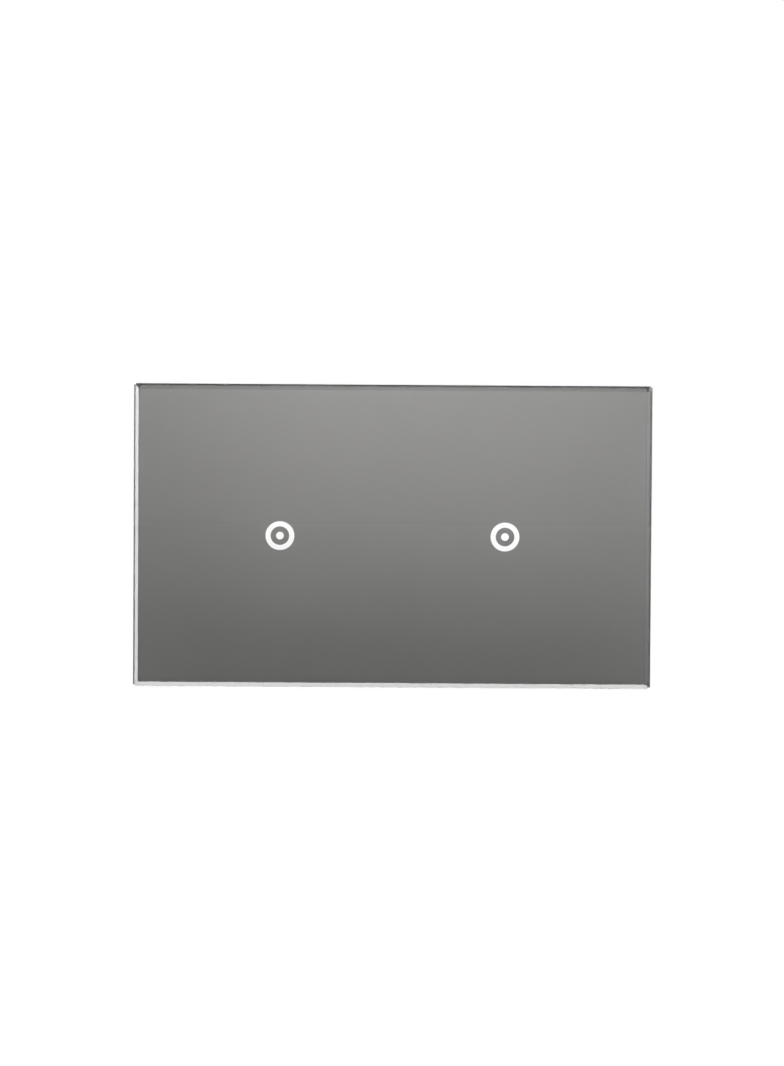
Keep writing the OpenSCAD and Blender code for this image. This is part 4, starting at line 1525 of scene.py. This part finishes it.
    def fit_terminals(self) -> None:
        """Models a terminal screw, which faces the wall, rounds a clamp and copies both to their places."""
        screw = self.terminal_screw.build("terminal_screw")
        screw.rotation_euler = (0, 0, math.pi)
        settle(screw)
        clamp = eased_copy(self.wardrobe.nodes[f"terminal_clamp_{Gang.LEFT.tag}_1"], self.clamp_edge)
        origin = self.place(Gang.LEFT) + self.terminal_x[0]
        for gang in Gang:
            for number, x in enumerate(self.terminal_x, 1):
                tag = f"{gang.tag}_{number}"
                at = self.place(gang) + x
                bolt = copy_to(screw, f"terminal_bolt_{tag}", at, self.screw_y)
                self.wardrobe.dress(bolt, f"screw_{tag}", f"terminal_screw_{tag}")
                cage = copy_to(clamp, f"terminal_cage_{tag}", at - origin)
                self.wardrobe.dress(cage, f"clamp_{tag}", f"terminal_clamp_{tag}")
        bpy.data.objects.remove(screw)
        bpy.data.objects.remove(clamp)


# Studio, in metres and degrees


@dataclass(frozen=True)
class Lamp:
    """A soft lamp with a face of an even brightness."""

    name: str
    at: PerAxis
    aim: PerAxis
    size: Pair
    brightness: float
    spread: float = 180

    def build(self) -> None:
        """Adds the lamp, hidden from the camera."""
        data = bpy.data.lights.new(self.name, "AREA")
        data.shape = "RECTANGLE"
        data.size, data.size_y = self.size
        data.energy = self.brightness * math.pi * self.size[0] * self.size[1]
        data.spread = math.radians(self.spread)
        lamp = bpy.data.objects.new(self.name, data)
        bpy.context.scene.collection.objects.link(lamp)
        lamp.location = self.at
        lamp.rotation_mode = "QUATERNION"
        lamp.rotation_quaternion = (Vector(self.aim) - Vector(self.at)).to_track_quat("-Z", "Y")
        lamp.visible_camera = False


@dataclass
class Studio:
    """The floor, the lamps, the pale surroundings and the camera."""

    floor_z: float = -0.26
    floor_size: float = 30.0
    floor_colour: Colour = (0.82, 0.82, 0.82)
    floor_white: float = 0.74
    ambient: float = 0.32
    overhead: float = 0.05
    overhead_z: Pair = (0.90, 0.97)
    distance: float = 0.6
    elevation: float = 1.23
    roll: float = -0.37
    frame_height: float = 0.30178
    aim: PerAxis = (-0.00014, -0.010, 0.0010)
    sensor: float = 36.0
    lamps: tuple[Lamp, ...] = (
        Lamp("key", at=(-0.07, -0.50, 0.11), aim=(0.0116, -0.006, 0.04), size=(0.187, 0.02),
             brightness=5.3, spread=19.2),
        Lamp("left_strip", at=(-0.34, 0.0230, 0.0), aim=(0, 0.0230, 0), size=(0.0013, 0.30), brightness=8),
        Lamp("low_strip", at=(0, 0.0186, -0.235), aim=(0, 0.0186, 0), size=(0.40, 0.0208), brightness=8.5),
        Lamp("rear_high", at=(0.45, 0.75, 0.55), aim=(0, 0, 0), size=(1.2, 1.2), brightness=0.95),
        Lamp("rear_left", at=(-0.65, 0.55, 0.10), aim=(0, 0, 0), size=(0.7, 0.7), brightness=0.95),
    )

    def build(self) -> None:
        """Adds everything round the object."""
        bpy.context.scene.view_settings.view_transform = "Standard"
        self.surround()
        self.lay_floor()
        for lamp in self.lamps:
            lamp.build()
        self.set_camera()

    def surround(self) -> None:
        """Makes surroundings that look white, save straight overhead, and light the object softly."""
        world = bpy.data.worlds.new("studio")
        bpy.context.scene.world = world
        world.use_nodes = True
        graph = Graph(world.node_tree)
        way = graph.node("ShaderNodeSeparateXYZ")
        graph.link(graph.node("ShaderNodeTexCoord").outputs["Generated"], way.inputs["Vector"])
        fade = (1, self.overhead)
        sky = graph.remap(way.outputs["Z"], self.overhead_z, fade, interpolation_type="SMOOTHSTEP")
        dim = graph.node("ShaderNodeBackground", {"Color": WHITE, "Strength": self.ambient})
        white = graph.node("ShaderNodeBackground", {"Color": WHITE})
        graph.link(sky, white.inputs["Strength"])
        both = graph.mix(graph.seen(), dim.outputs["Background"], white.outputs["Background"])
        graph.link(both, graph.node("ShaderNodeOutputWorld").inputs["Surface"])

    def lay_floor(self) -> None:
        """Adds the pale floor, which shows near white and keeps the object's shadow."""
        bpy.ops.object.select_all(action="DESELECT")
        bpy.ops.mesh.primitive_plane_add(size=self.floor_size, location=(0, 0, self.floor_z))
        floor = name_new("floor")
        shades = Shades("pale_floor")
        shades.set(Base_Color=(*self.floor_colour, 1), Roughness=1.0, Specular_IOR_Level=0.0)
        glow = shades.node("ShaderNodeEmission")
        shades.link(shades.remap(shades.seen(), (0, 1), (0, self.floor_white)), glow.inputs["Strength"])
        total = shades.node("ShaderNodeAddShader")
        shades.link(shades.shader.outputs["BSDF"], total.inputs[0])
        shades.link(glow.outputs["Emission"], total.inputs[1])
        shades.show(total.outputs["Shader"])
        floor.data.materials.append(shades.material)

    def set_camera(self) -> None:
        """Adds the camera in front of the glass, a little above its middle."""
        data = bpy.data.cameras.new("camera")
        data.sensor_width = self.sensor
        data.lens = self.sensor * self.distance / self.frame_height
        camera = bpy.data.objects.new("camera", data)
        bpy.context.scene.collection.objects.link(camera)
        tilt = math.radians(self.elevation)
        back = Vector((0, -math.cos(tilt), math.sin(tilt)))
        camera.location = Vector(self.aim) + back * self.distance
        camera.rotation_mode = "QUATERNION"
        turn = Quaternion((0, 0, 1), math.radians(-self.roll))
        camera.rotation_quaternion = (-back).to_track_quat("-Z", "Y") @ turn
        bpy.context.scene.camera = camera


def main() -> None:
    """Builds the switch's pieces, the finishes and the studio."""
    logging.basicConfig(level=logging.INFO, format="%(name)s: %(message)s")
    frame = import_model()
    wardrobe = Wardrobe(frame)
    GlassCover(wardrobe).build()
    WallBase(wardrobe).build()
    TouchModules(wardrobe).build()
    wardrobe.dress_nodes()
    Studio().build()


if __name__ == "__main__":
    main()
